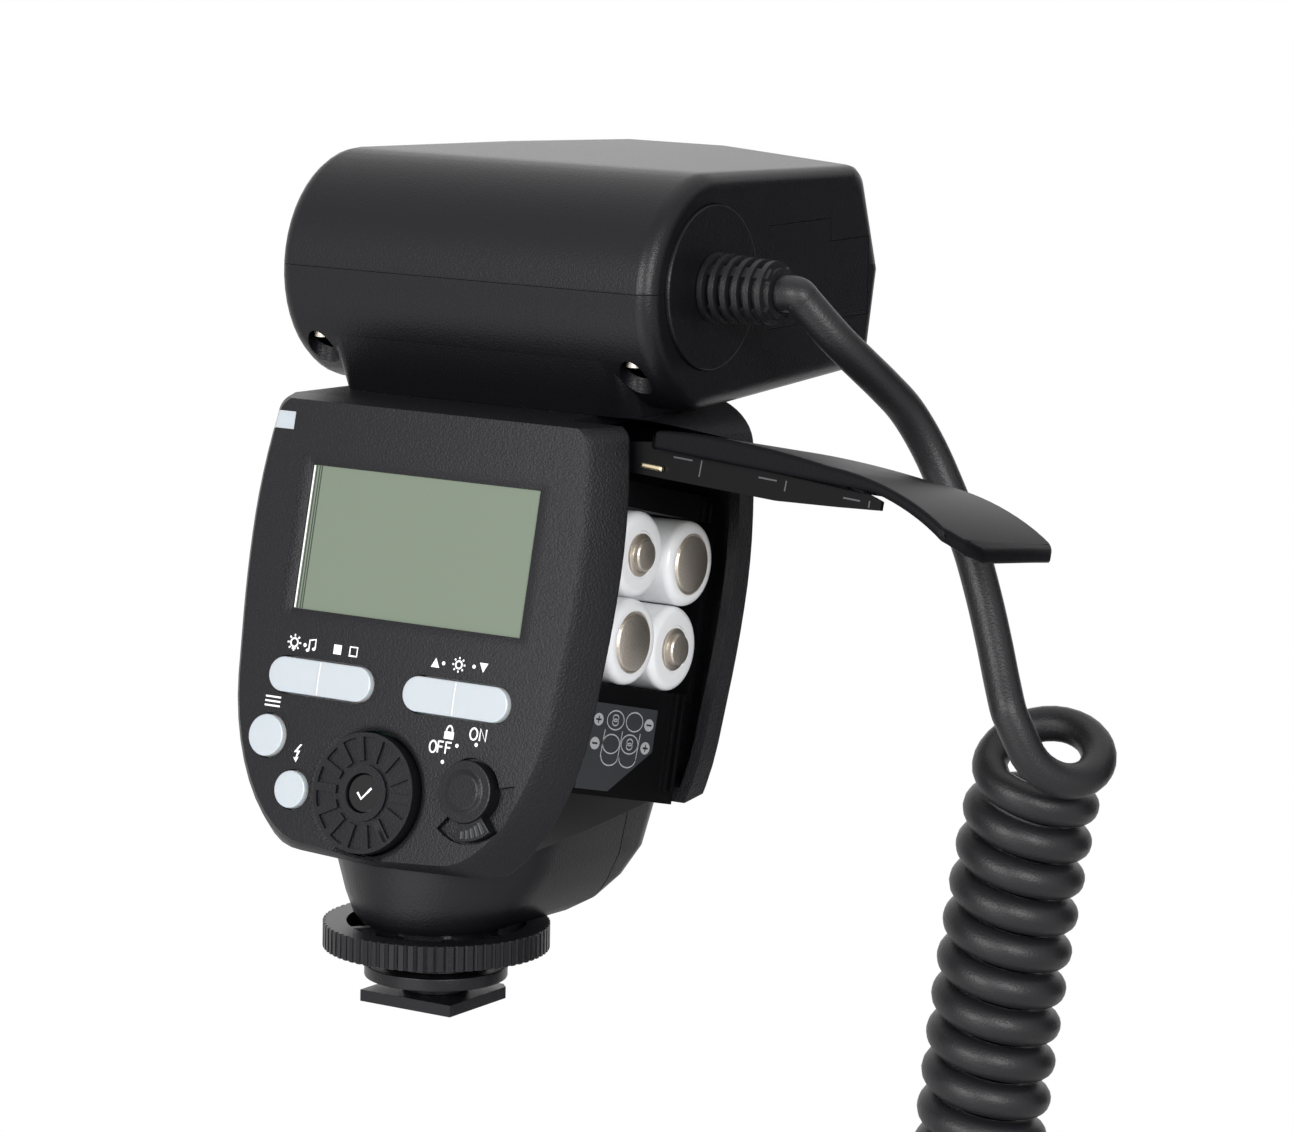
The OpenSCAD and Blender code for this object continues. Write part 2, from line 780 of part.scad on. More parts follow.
module shoe_screw_set(gap) {
    for (x = [-1, 1], y = [-1, 1]) translate([x * screw_at, y * screw_at, foot_gap]) {
        cylinder(r = screw_head_r + gap, h = screw_head_h + gap);
        cylinder(r = screw_r + gap, h = screw_l + gap);
    }
}

module shoe_foot() {
    color("#2a2a2c") difference() {
        linear_extrude(foot_t) polygon([[-foot_w / 2, -foot_l / 2], [foot_w / 2, -foot_l / 2],
            [foot_w / 2, foot_l / 2 - foot_corner], [foot_w / 2 - foot_corner, foot_l / 2],
            [foot_corner - foot_w / 2, foot_l / 2], [-foot_w / 2, foot_l / 2 - foot_corner]]);
        translate([0, 0, -foot_gap]) shoe_screw_set(run);
        for (at = contact_at) translate([at.x, at.y, -over])
            cylinder(r = contact_r + run, h = over + contact_h);
        translate([0, lock_pin_y, -over]) cylinder(r = lock_pin_r + run, h = foot_t + 2 * over);
    }
}

module shoe_contacts() {
    color(brass) for (at = contact_at) translate([at.x, at.y, 0]) cylinder(r = contact_r, h = contact_h);
}

module shoe_screws() {
    color(steel) shoe_screw_set(0);
}

knurls = 72;
knurl_r = 0.45;
rim_t = 4;
dish_t = 1.6;
wheel_hub_r = 10.5;
spokes = 8;
spoke_w = 1.4;

module lock_wheel() {
    color(shell_black) difference() {
        union() {
            translate([0, 0, wheel_z]) cylinder(r = wheel_r, h = dish_t);
            translate([0, 0, wheel_z]) difference() {
                cylinder(r = wheel_r, h = wheel_h);
                translate([0, 0, dish_t]) cylinder(r = wheel_r - rim_t, h = wheel_h);
            }
            translate([0, 0, wheel_z]) cylinder(r = wheel_hub_r, h = wheel_h);
            for (i = [0:spokes - 1]) rotate(360 * i / spokes)
                translate([wheel_hub_r - over, -spoke_w / 2, wheel_z])
                    cube([wheel_r - rim_t - wheel_hub_r + 2 * over, spoke_w, wheel_h - dish_t / 2]);
        }
        translate([0, 0, wheel_z - over]) cylinder(r = stem_r + run, h = wheel_h + 2 * over);
        for (i = [0:knurls - 1]) rotate(360 * i / knurls) translate([wheel_r, 0, wheel_z - over])
            cylinder(r = knurl_r, h = wheel_h + 2 * over, $fn = 6);
    }
}

clamp_flange = 2.2;
clamp_neck_r = 8.6;
clamp_up = 0.5;

module clamp_disc() {
    color(shell_black) translate([0, 0, clamp_z]) difference() {
        union() {
            cylinder(r = clamp_r, h = clamp_flange);
            cylinder(r = clamp_neck_r, h = wheel_z - clamp_up - clamp_z);
        }
        translate([0, 0, -over]) cylinder(r = stem_r + run, h = wheel_z);
    }
}

module lock_pin() {
    color(steel) translate([0, lock_pin_y, foot_gap]) cylinder(r = lock_pin_r, h = clamp_z - foot_gap);
}

// Head
head_y = 24;
head_half = head_w / 2;
head_seam = 122.5;
head_edge = 3;
edge_steps = 4;
crown = 1.8;
crown_half = 10;
chin_z = 104.2;
chin_r = 4;
chin_from = -80;
chin_to = -10;
brow_z = 140;
brow_r = 4;
brow_from = 10;
front_bow = 2.4;
rear_low = 262;

// Side view of the head in (y, z), drawn in by inset
function head_side(inset) = let (
        r = head_r - inset,
        front = head_y + head_front - inset
    ) concat(
        [for (i = [0:2 * steps]) let (t = 90 + (rear_low - 90) * i / (2 * steps))
            [head_y + r * cos(t), head_z + r * sin(t)]],
        [for (i = [0:steps]) let (t = chin_from + (chin_to - chin_from) * i / steps)
            [front - front_bow - chin_r + chin_r * cos(t), chin_z + inset + chin_r + chin_r * sin(t)]],
        [[front, head_z]],
        [for (i = [0:steps]) let (t = brow_from + (90 - brow_from) * i / steps)
            [front - 2 * front_bow - brow_r + brow_r * cos(t), brow_z - inset - brow_r + brow_r * sin(t)]]
    );

// A side view outline carried from one side to the other
module across_both(half, points) {
    across(-half, half, points);
}

module head_form() {
    hull() {
        for (i = [0:edge_steps]) let (t = 90 * i / edge_steps)
            across_both(head_half - head_edge * (1 - sin(t)), head_side(head_edge * (1 - cos(t))));
        across(-crown_half, crown_half, concat([[head_y, head_z]], [for (p = head_side(0))
            if (p.y > brow_z - brow_r && p.x > head_y + head_r) [p.x, p.y + crown]]));
    }
}

side_wall = 3.2;
neck_half = 30;
neck_r = 3.5;
neck_low_y = 12;
neck_high_y = 5.8;
neck_y1 = 30;
neck_top = head_z - 8;
neck_low = case_top + foot_gap;

// Outline of the neck at one level, from its rear edge forwards, drawn in by inset
module neck_outline(rear, inset) {
    offset(r = neck_r - inset) translate([-neck_half + neck_r, rear + neck_r])
        square([2 * (neck_half - neck_r), neck_y1 - rear - 2 * neck_r]);
}

// Neck under the head, whose rear face leans
module neck_form(inset, low) {
    hull() {
        translate([0, 0, low]) linear_extrude(sliver) neck_outline(neck_low_y, inset);
        translate([0, 0, neck_top]) linear_extrude(sliver) neck_outline(neck_high_y, inset);
    }
}

// Stepped cover on the head's right side, as (y, z) points
cover_y0 = 41;
cover_y1 = head_y + head_front - head_edge - 2;
cover_step = 61;
cover_z0 = 114;
cover_z1 = 127.5;
cover_z2 = 131.5;
side_cover_t = 1.2;

module side_cover_outline(gap, thickness) {
    across(head_half - thickness, head_half + (gap > 0 ? over : 0), [
        [cover_y0 - gap, cover_z0 - gap], [cover_y1 + gap, cover_z0 - gap],
        [cover_y1 + gap, cover_z1 + gap], [cover_step + gap, cover_z1 + gap],
        [cover_step + gap, cover_z2 + gap], [cover_y0 - gap, cover_z2 + gap]]);
}

boss_y = 22.4;
boss_z = 122.6;
boss_r = 13.8;
boss_t = 2;
boss_proud = 0.8;
cord_r = cord_d / 2;

module boss_cylinder(x0, x1, radius) {
    translate([x0, boss_y, boss_z]) rotate([0, 90, 0]) cylinder(r = radius, h = x1 - x0);
}

// Cuts that both head shells share
module head_cuts() {
    across(-head_half + side_wall, head_half - side_wall, head_side(wall));
    side_cover_outline(fit, side_cover_t + fit / 2);
    boss_cylinder(head_half - boss_t + boss_proud, head_half + over, boss_r + fit);
    boss_cylinder(head_half - side_wall - over, head_half + over, cord_r + fit);
}

module head_upper_shell() {
    color(shell_black) difference() {
        intersection() {
            head_form();
            translate([-head_w, -head_w, head_seam + foot_gap]) cube([2 * head_w, 4 * head_w, head_w]);
        }
        head_cuts();
    }
}

head_screw_x = 32;
head_screw_y = 9.6;
head_screw_z = 112.5;
screw_pocket_r = 2.7;
screw_pocket_top = 111.5;
head_screw_r = 1.6;
head_screw_l = 5;

module head_lower_shell() {
    color(shell_black) difference() {
        union() {
            difference() {
                intersection() {
                    head_form();
                    translate([-head_w, -head_w, neck_low])
                        cube([2 * head_w, 4 * head_w, head_seam - neck_low]);
                }
                head_cuts();
            }
            difference() {
                neck_form(0, neck_low);
                across(-head_half, head_half, head_side(wall / 2));
                neck_form(wall, neck_low - over);
            }
        }
        for (side = [-1, 1]) translate([side * head_screw_x, head_screw_y, neck_low - over]) {
            cylinder(r = head_screw_r + fit, h = head_screw_z + head_screw_l - neck_low);
            cylinder(r = screw_pocket_r, h = screw_pocket_top - neck_low + over);
        }
    }
}

module head_side_cover() {
    color(shell_black) side_cover_outline(0, side_cover_t);
}

module cord_boss() {
    color(shell_black) difference() {
        boss_cylinder(head_half - boss_t + boss_proud + fit / 2, head_half + boss_proud, boss_r);
        boss_cylinder(head_half - boss_t, head_half + over, cord_r + fit);
    }
}

module head_screws() {
    color(steel) for (side = [-1, 1])
        translate([side * head_screw_x, head_screw_y, head_screw_z - head_screw_l / 2])
            cylinder(r = head_screw_r, h = head_screw_l);
}

capacitor_r = 9;
capacitor_l = 52;
capacitor_y = 56;
shelf_z = 117;

module flash_capacitor() {
    color("#22262e") translate([-capacitor_l / 2, capacitor_y, shelf_z + board_t + capacitor_r])
        rotate([0, 90, 0]) cylinder(r = capacitor_r - seat, h = capacitor_l);
}

module inverter_board() {
    color(board_green) translate([-head_half + side_wall + fit, head_y, shelf_z])
        cube([head_w - 2 * side_wall - 2 * fit, head_front - side_wall - front_bow, board_t]);
}

boot_ribs = 6;
boot_core = 4.2;
boot_lead = 0.2;
boot_taper = 0.12;
boot_fill = 0.45;
boot_bars = 4;
bar_w = 2;

// A ribbed boot along +Z, with its cord end at the top
module boot(length, radius) {
    for (i = [0:boot_bars - 1]) rotate(360 * (i + 0.5) / boot_bars) translate([0, -bar_w / 2, 0])
        cube([radius - boot_taper * boot_ribs - seat, bar_w, length - boot_lead]);
    rotate_extrude() {
        square([boot_core, length]);
        for (i = [0:boot_ribs - 1])
            translate([0, length * i / boot_ribs + boot_lead])
                square([radius - boot_taper * i, length / boot_ribs * boot_fill]);
    }
}

boot_x = head_half + boss_proud;

module cord_boot() {
    color(cord_black) translate([boot_x, boss_y, boss_z]) rotate([0, 90, 0]) boot(boot_l, boot_r);
}

// Cord: route points chosen by hand
upper_lead = [[56, 23.2, 121.2], [60, 26.5, 115.5], [62.5, 31, 111], [64, 36, 107], [65.5, 41, 102.5],
    [68, 44.5, 96], [71.5, 46, 88], [75.5, 46, 80], [79, 45, 72], [82, 43.5, 65], [84.5, 42, 59]];
loop_top = [93, 49, 51.5];
loop_mid = [84.5, 58, 44.5];
coil_top = [83, 58, 39];
coil_mid = [72, 60, -13.5];
coil_low = [71, 60, -69.5];
coil_right = [0.84, 0.54, 0];
coil_start = 210;
tube_sides = 10;
curl_sides = 6;
curl_rings = 8;
lead_step = 3;

function unit(a) = a / norm(a);
function bezier(a, b, c, t) = a * (1 - t) * (1 - t) + b * 2 * t * (1 - t) + c * t * t;
function bezier_way(a, b, c, t) = (b - a) * (1 - t) + (c - b) * t;

// Axis of the coil and its direction, t turns below the start
function coil_axis(t) = t < 1 ? bezier(loop_top, loop_mid, coil_top, t)
    : bezier(coil_top, coil_mid, coil_low, (t - 1) / curls);
function coil_way(t) = unit(t < 1 ? bezier_way(loop_top, loop_mid, coil_top, t)
    : bezier_way(coil_top, coil_mid, coil_low, (t - 1) / curls));
function curl_point(t) = let (
        way = coil_way(t),
        e = unit(coil_right - way * (coil_right * way)),
        f = cross(e, way),
        a = coil_start + 360 * t
    ) coil_axis(t) + curl_r * (e * cos(a) + f * sin(a));

turns = curls + 1;
curl_count = turns * curl_rings;
helix = [for (i = [0:curl_count]) curl_point(i / curl_rings)];
way_in = unit(curl_point(0.02) - curl_point(0));
way_out = unit(curl_point(turns) - curl_point(turns - 0.02));
curl_path = concat([helix[0] - way_in * cord_d, helix[0] - way_in * cord_d / 2], helix,
    [helix[curl_count] + way_out * cord_d / 2, helix[curl_count] + way_out * cord_d]);

// Smooth path through points: a cubic between neighbours, step points to each stretch
function between(a, b, c, d, t) = 0.5 * (2 * b + (c - a) * t + (2 * a - 5 * b + 4 * c - d) * t * t
    + (3 * b - a - 3 * c + d) * t * t * t);
function smooth(p) = concat([for (i = [1:len(p) - 3], k = [0:lead_step - 1])
    between(p[i - 1], p[i], p[i + 1], p[i + 2], k / lead_step)], [p[len(p) - 2]]);

// Frames along a path, each turned as little as can be from the one before
function way_at(p, i) = unit(p[min(i + 1, len(p) - 1)] - p[max(i - 1, 0)]);
function square_to(v, way) = unit(v - way * (v * way));
function normals(p, i = 0, last = undef) = i == len(p) ? []
    : let (n = square_to(is_undef(last) ? coil_right + [0, 0, 0.3] : last, way_at(p, i)))
        concat([n], normals(p, i + 1, n));

// A round tube along a path, closed at both ends
module tube(path, radius, sides) {
    n = normals(path);
    rings = [for (i = [0:len(path) - 1]) let (w = way_at(path, i), m = cross(w, n[i]))
        for (k = [0:sides - 1]) let (a = 360 * k / sides) path[i] + radius * (n[i] * cos(a) + m * sin(a))];
    top = len(path) * sides;
    points = concat(rings, [path[0], path[len(path) - 1]]);
    walls = [for (i = [0:len(path) - 2], k = [0:sides - 1])
        let (a = i * sides + k, b = i * sides + (k + 1) % sides)
            each [[a, b + sides, b], [a, a + sides, b + sides]]];
    caps = [for (k = [0:sides - 1]) each [[top, k, (k + 1) % sides],
        [top + 1, top - sides + (k + 1) % sides, top - sides + k]]];
    polyhedron(points, concat(walls, caps), convexity = 10);
}

// Least gap between one curl and the next, measured on the points of the helix
least_gap = min([for (i = [0:curl_count - curl_rings], k = [curl_rings - 2:curl_rings + 2])
    if (i + k <= curl_count) norm(helix[i] - helix[i + k])]) - cord_d;
echo(least_gap = least_gap);

boot_tip = [boot_x + boot_l, boss_y, boss_z];
lead_in = concat([boot_tip - [cord_d, 0, 0], boot_tip, boot_tip + [cord_d / 2, 0, 0]], upper_lead,
    [curl_path[0], curl_path[1]]);

module cord_upper_lead() {
    color(cord_black) tube(smooth(lead_in), cord_r, tube_sides);
}

module cord_curls() {
    color(cord_black) tube(curl_path, cord_r, curl_sides);
}

// Ring head, hanging below the coil; its lens axis lies along Y
ring_at = [80, 54, -186];
ring_r = ring_d / 2;
bore_r = bore_d / 2;
ring_half = ring_t / 2;
ring_wall = 2;
block_half = 9;
block_z0 = -ring_half + ring_wall;
block_mid = block_z0 / 2;
ring_boot_r = 5;
rim_break = 2.5;

// Children are drawn with +Z along the lens axis and -Y up
module at_ring() {
    translate(ring_at) rotate([-90, 0, 0]) children();
}

ring_tip = ring_at + [0, block_mid, ring_r + block_h + boot_l];
lead_low = [[76.8, 46.9, -71.8], [79.6, 46.2, -76], [80.3, 46.8, -84], [80, 48, -94]];
curl_end = curl_path[len(curl_path) - 1];
lead_out = concat([curl_path[len(curl_path) - 2], curl_end], lead_low,
    [ring_tip + [0, 0, cord_d / 2], ring_tip, ring_tip - [0, 0, cord_d]]);

module cord_lower_lead() {
    color(cord_black) tube(smooth(lead_out), cord_r, tube_sides);
}

module ring_boot() {
    color(cord_black) translate(ring_at + [0, block_mid, ring_r + block_h]) boot(boot_l, ring_boot_r);
}

release_w = 16;
release_z0 = -8;
release_h = 7;
release_proud = 2;
release_press = 1.2;
release_in = 4;

module release_slots() {
    for (side = [-1, 1]) translate([side * ring_r - release_w, -release_w / 2 - loose, release_z0 - loose])
        cube([2 * release_w, release_w + 2 * loose, release_h + 2 * loose]);
}

gap_r = (ring_r + bore_r) / 2;
ring_screw_angle = 8;
ring_screw_r = 1;
ring_head_r = 1.8;
ring_head_h = 1.4;
ring_post_r = 2.4;
ring_screw_turns = [for (a = [-90, 90], s = [-1, 1]) a + s * ring_screw_angle];
face_t = 2;
ledge_t = 2;
window_in = bore_r + ring_wall + 3;
window_out = ring_r - ring_wall - 3;
ledge = 1;
arc_gap = 0.3;
reflector_t = 1;
reflector_low = 3;
reflector_high = ring_half - face_t - ledge_t;

module ring_screw_holes(gap) {
    for (a = ring_screw_turns) rotate(a) translate([gap_r, 0, -ring_half]) {
        cylinder(r = ring_head_r + gap, h = ring_head_h + gap);
        cylinder(r = ring_screw_r + gap, h = ring_half + reflector_low);
    }
}

module ring_rear_shell() {
    color(shell_black) at_ring() difference() {
        union() {
            rotate_extrude() difference() {
                polygon([[bore_r, -ring_half], [ring_r - rim_break, -ring_half],
                    [ring_r, -ring_half + rim_break], [ring_r, 0], [bore_r, 0]]);
                translate([bore_r + ring_wall, -ring_half + ring_wall])
                    square([ring_r - bore_r - 2 * ring_wall, ring_half]);
            }
            translate([-block_half, -ring_r - block_h, block_z0])
                cube([2 * block_half, block_h + ring_wall, -block_z0]);
            for (a = ring_screw_turns) rotate(a) translate([gap_r, 0, -ring_half + ring_wall / 2])
                cylinder(r = ring_post_r, h = ring_half - ring_wall / 2);
        }
        release_slots();
        translate([0, 0, -sliver]) ring_screw_holes(run);
    }
}

// Arc of a (radius, z) profile, one on each side of the ring
module window_arcs(angle) {
    for (turn = [0, 180]) rotate(turn - angle / 2) rotate_extrude(angle = angle) children();
}

module ring_front_shell() {
    color(shell_black) at_ring() difference() {
        union() {
            rotate_extrude() difference() {
                polygon([[bore_r, foot_gap], [ring_r, foot_gap], [ring_r, ring_half - rim_break],
                    [ring_r - rim_break, ring_half], [bore_r, ring_half]]);
                translate([bore_r + ring_wall, 0])
                    square([ring_r - bore_r - 2 * ring_wall, ring_half - face_t]);
            }
            for (a = ring_screw_turns) rotate(a) translate([gap_r, 0, foot_gap])
                cylinder(r = ring_post_r, h = ring_half - face_t / 2);
        }
        window_arcs(window_angle) translate([window_in, 0])
            square([window_out - window_in, ring_half + over]);
        ring_screw_holes(run);
        focus_lamp_set(fit);
    }
}

module ring_diffusers() {
    color("#e8e9e4") at_ring() {
        window_arcs(window_angle - arc_gap) translate([window_in + fit, ring_half - face_t - ledge_t])
            square([window_out - window_in - 2 * fit, face_t + ledge_t - fit]);
        window_arcs(window_angle - arc_gap) translate([window_in - ledge, ring_half - face_t - ledge_t])
            square([window_out - window_in + 2 * ledge, ledge_t - fit]);
    }
}

module ring_reflectors() {
    color("#d6d8da") at_ring() window_arcs(window_angle - arc_gap) difference() {
        translate([window_in, reflector_low])
            square([window_out - window_in, reflector_high - reflector_low]);
        translate([window_in + reflector_t, reflector_low + reflector_t])
            square([window_out - window_in - 2 * reflector_t, reflector_high]);
    }
}

flash_tube_r = 2;
tube_short = 8;

module flash_tubes() {
    color("#dfe6ea") at_ring() window_arcs(window_angle - tube_short)
        translate([gap_r, reflector_low + reflector_t + seat + flash_tube_r]) circle(flash_tube_r);
}

lamp_r = 2.2;
lamp_l = 4;

module focus_lamp_set(gap) {
    for (a = [-90, 90]) rotate(a) translate([gap_r, 0, ring_half - lamp_l - gap])
        cylinder(r = lamp_r + gap, h = lamp_l + 2 * gap);
}

module focus_lamps() {
    color("#f4f1e2") at_ring() focus_lamp_set(0);
}

// A squeeze button in the ring's rim, with a flange inside that keeps it from falling out
module release(side) {
    color(shell_black) at_ring() {
        translate([side > 0 ? ring_r - release_in : -ring_r - release_proud, -release_w / 2, release_z0])
            cube([release_in + release_proud, release_w, release_h]);
        translate([side > 0 ? ring_r - release_in - flange : -ring_r + release_in,
            -release_w / 2 - flange, release_z0 - flange])
                cube([flange, release_w + 2 * flange, release_h + 2 * flange - seat]);
    }
}

module left_release() {
    release(-1);
}

module right_release() {
    release(1);
}

trigger_turn = 210;
trigger_span = 40;

module trigger_board() {
    color(board_green) at_ring() translate([0, 0, -ring_half + ring_wall]) rotate(trigger_turn)
        rotate_extrude(angle = trigger_span) translate([bore_r + ring_wall + fit, 0])
            square([ring_r - bore_r - 2 * ring_wall - 2 * fit, board_t]);
}

module ring_screws() {
    color(steel) at_ring() ring_screw_holes(0);
}

rear_panel();
front_case();
base_housing();
front_base_cover();
red_window();
status_window();
display_glass();
display_module();
main_board();
left_rocker();
right_rocker();
mode_button();
test_button();
selector_dial();
set_button();
power_switch();
battery_cage();
inner_contacts();
aa_cell_rear_top();
aa_cell_front_top();
aa_cell_rear_low();
aa_cell_front_low();
polarity_plate();
door_hinge_plate();
door_cover();
door_contacts();
hinge_pin();
head_upper_shell();
head_lower_shell();
head_side_cover();
cord_boss();
head_screws();
flash_capacitor();
inverter_board();
cord_boot();
shoe_foot();
lock_wheel();
clamp_disc();
lock_pin();
shoe_contacts();
shoe_screws();
cord_upper_lead();
cord_curls();
cord_lower_lead();
ring_boot();
ring_rear_shell();
ring_front_shell();
ring_diffusers();
ring_reflectors();
flash_tubes();
focus_lamps();
left_release();
right_release();
trigger_board();
ring_screws();
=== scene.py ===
# %% [markdown]
# # A macro ring flash, dressed on its CAD frame
#
# The object is the controller of a ring flash on its shoe foot, with the battery door open, and a curly
# cord that runs down to the ring head. The CAD frame brings every solid in place. This lesson gives the
# solids their finishes, and remakes the pieces that need more than a plain solid: the cord, the cells and
# the printed marks. Lengths are in metres, +X is right as seen from behind, +Y points along the lens and
# +Z is up.

import json
import math

import bpy
import numpy as np
from mathutils import Matrix, Vector


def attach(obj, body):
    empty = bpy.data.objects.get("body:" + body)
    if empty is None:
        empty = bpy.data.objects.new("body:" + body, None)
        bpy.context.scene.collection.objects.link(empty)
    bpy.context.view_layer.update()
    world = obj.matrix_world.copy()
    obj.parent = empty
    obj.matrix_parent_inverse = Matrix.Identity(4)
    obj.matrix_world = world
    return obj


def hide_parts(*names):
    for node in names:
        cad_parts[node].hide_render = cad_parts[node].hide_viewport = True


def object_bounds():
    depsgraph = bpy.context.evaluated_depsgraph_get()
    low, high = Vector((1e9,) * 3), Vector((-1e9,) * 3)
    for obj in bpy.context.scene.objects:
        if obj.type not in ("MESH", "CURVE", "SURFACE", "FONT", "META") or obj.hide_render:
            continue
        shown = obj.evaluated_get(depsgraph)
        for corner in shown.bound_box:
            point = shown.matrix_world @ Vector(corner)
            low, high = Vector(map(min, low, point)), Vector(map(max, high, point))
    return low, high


MM = 0.001
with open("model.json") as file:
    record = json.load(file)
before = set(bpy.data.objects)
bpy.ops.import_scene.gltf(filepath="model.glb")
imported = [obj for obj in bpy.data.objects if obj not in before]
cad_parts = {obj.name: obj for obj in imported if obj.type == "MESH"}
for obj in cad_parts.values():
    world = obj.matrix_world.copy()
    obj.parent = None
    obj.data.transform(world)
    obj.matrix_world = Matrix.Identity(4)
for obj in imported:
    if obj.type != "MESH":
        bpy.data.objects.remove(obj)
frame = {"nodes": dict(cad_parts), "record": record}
nodes = frame["nodes"]
cad_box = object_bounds()
print("CAD nodes:", len(nodes), "CAD box:", [list(map(float, c)) for c in cad_box])

# %% [markdown]
# ## The camera
#
# The camera was fitted on things of known size in the photo: the AA cells, the shoe foot and the panel. A
# camera can be placed by hand and turned until it looks right, but three angles round a target point are
# easier to read. The focal length comes from the width of the view in pixels.

# %% Place the camera
AZ, EL, ROLL = (math.radians(a) for a in (32.816, 9.334, 1.133))
TARGET = np.array([37.712, 5.187, 77.938]) * MM
DISTANCE = 814.295 * MM
FOCAL_PX, WIDTH_PX = 4953.641, 1294.0
SENSOR = 36.0


def camera_axes(az, el, roll):
    """Right, up and back directions: back points at the camera, right and up turn about it by the roll."""
    back = np.array([math.sin(az) * math.cos(el), -math.cos(az) * math.cos(el), math.sin(el)])
    right = np.array([math.cos(az), math.sin(az), 0.0])
    up = np.cross(back, right)
    return (
        math.cos(roll) * right + math.sin(roll) * up,
        -math.sin(roll) * right + math.cos(roll) * up,
        back,
    )


def make_camera():
    """A camera at the target plus the distance along back, with a lens of sensor times focal over width."""
    right, up, back = camera_axes(AZ, EL, ROLL)
    data = bpy.data.cameras.new("camera")
    data.sensor_width = SENSOR
    data.lens = SENSOR * FOCAL_PX / WIDTH_PX
    data.clip_start = 0.01
    cam = bpy.data.objects.new("camera", data)
    turn = Matrix([list(row) for row in np.column_stack([right, up, back])]).to_4x4()
    cam.matrix_world = Matrix.Translation(Vector(TARGET + back * DISTANCE)) @ turn
    bpy.context.collection.objects.link(cam)
    bpy.context.scene.camera = cam
    return cam


camera = make_camera()
print("camera at", [round(x, 4) for x in camera.matrix_world.translation])

# %% [markdown]
# ## Tools for surfaces
#
# A new piece is a grid of points: rows along it, columns round it. A curve object with a round bevel
# could make a cord too, but a grid keeps the mesh in our hands, and its ends are closed by two flat
# faces.

# %% Grids and meshes


def unit(a):
    """A vector, or rows of vectors, divided by their length."""
    return a / np.linalg.norm(a, axis=-1, keepdims=True)


def grid_faces(rows, cols):
    """Quads between neighbouring points of a grid whose columns close on themselves."""
    r, c = np.meshgrid(np.arange(rows - 1), np.arange(cols), indexing="ij")
    r, c = r.ravel(), c.ravel()
    n = (c + 1) % cols
    return np.column_stack([r * cols + c, r * cols + n, (r + 1) * cols + n, (r + 1) * cols + c])


def closed_faces(rows, cols):
    """The quads of a closed grid, turned outwards, and one flat face at each end."""
    last = (rows - 1) * cols
    caps = [list(range(cols)), list(range(last + cols - 1, last - 1, -1))]
    return grid_faces(rows, cols)[:, ::-1].tolist() + caps


def make_mesh(name, points, faces, smooth=True):
    """A mesh object from points and lists of corner numbers."""
    mesh = bpy.data.meshes.new(name)
    mesh.from_pydata(points.tolist(), [], [list(map(int, f)) for f in faces])
    mesh.polygons.foreach_set("use_smooth", np.full(len(mesh.polygons), smooth))
    mesh.update()
    obj = bpy.data.objects.new(name, mesh)
    bpy.context.collection.objects.link(obj)
    return obj


print("faces of a closed grid of 3 by 8:", len(closed_faces(3, 8)))

# %% A tube along a path
FIRST_NORMAL = np.array([0.84, 0.54, 0.3])


def path_frames(path):
    """Two normals at each point of a path, turned as little as can be from the ones before."""
    way = unit(np.gradient(path, axis=0))
    normal = np.empty_like(path)
    last = FIRST_NORMAL
    # each normal is the one before less its share along the path, so this goes point by point
    for i, w in enumerate(way):
        last = unit(last - w * (last @ w))
        normal[i] = last
    return normal, np.cross(way, normal)


def tube(name, path, radius, sides=20):
    """A closed round tube: at each path point, a circle of that radius square to the path."""
    n, m = path_frames(path)
    a = np.linspace(0, 2 * np.pi, sides, endpoint=False)
    ring = np.cos(a)[None, :, None] * n[:, None, :] + np.sin(a)[None, :, None] * m[:, None, :]
    points = (path[:, None, :] + radius * ring).reshape(-1, 3)
    return make_mesh(name, points, closed_faces(len(path), sides))


print("first normal of a tube:", unit(FIRST_NORMAL).round(3).tolist())

# %% [markdown]
# ## The curly cord
#
# The cord leaves the boot on the head, comes down in front of the open door, makes one wide loop and then
# winds into curls that hang to the ring head below the picture. A screw modifier could wind straight
# curls, but these bend, so they are a helix about a bent axis. The leads are cubic curves through given
# points, and one tube carries the whole cord along the CAD route.

# %% The cord's sizes and route, in millimetres
CORD_D = 6.1
CURL_R = 8.4
CURLS = 16
COIL_START = 210.0
LOOP = np.array([[93, 49, 51.5], [84.5, 58, 44.5], [83, 58, 39]])
COIL = np.array([[83, 58, 39], [72, 60, -13.5], [71, 60, -69.5]])
COIL_RIGHT = np.array([0.84, 0.54, 0.0])
BOOT_TIP = np.array([51.8, 22.4, 122.6])
UPPER_LEAD = [
    [56, 23.2, 121.2], [60, 26.5, 115.5], [62.5, 31, 111], [64, 36, 107], [65.5, 41, 102.5], [68, 44.5, 96],
    [71.5, 46, 88], [75.5, 46, 80], [79, 45, 72], [82, 43.5, 65], [84.5, 42, 59],
]
LOWER_LEAD = [[76.8, 46.9, -71.8], [79.6, 46.2, -76], [80.3, 46.8, -84], [80, 48, -94]]
RING_TIP = np.array([80, 48.5, -103])
POINTS_PER_CURL = 32
print("cord of", CORD_D, "mm with", CURLS, "curls")

# %% The helix about a bent axis


def bezier(p, t):
    """Quadratic curve on three points, with weights (1-t) squared, 2t(1-t) and t squared."""
    t = t[:, None]
    return p[0] * (1 - t) ** 2 + p[1] * 2 * t * (1 - t) + p[2] * t**2


def bezier_way(p, t):
    """Direction of that curve: the first leg times (1-t) plus the second leg times t."""
    t = t[:, None]
    return (p[1] - p[0]) * (1 - t) + (p[2] - p[1]) * t


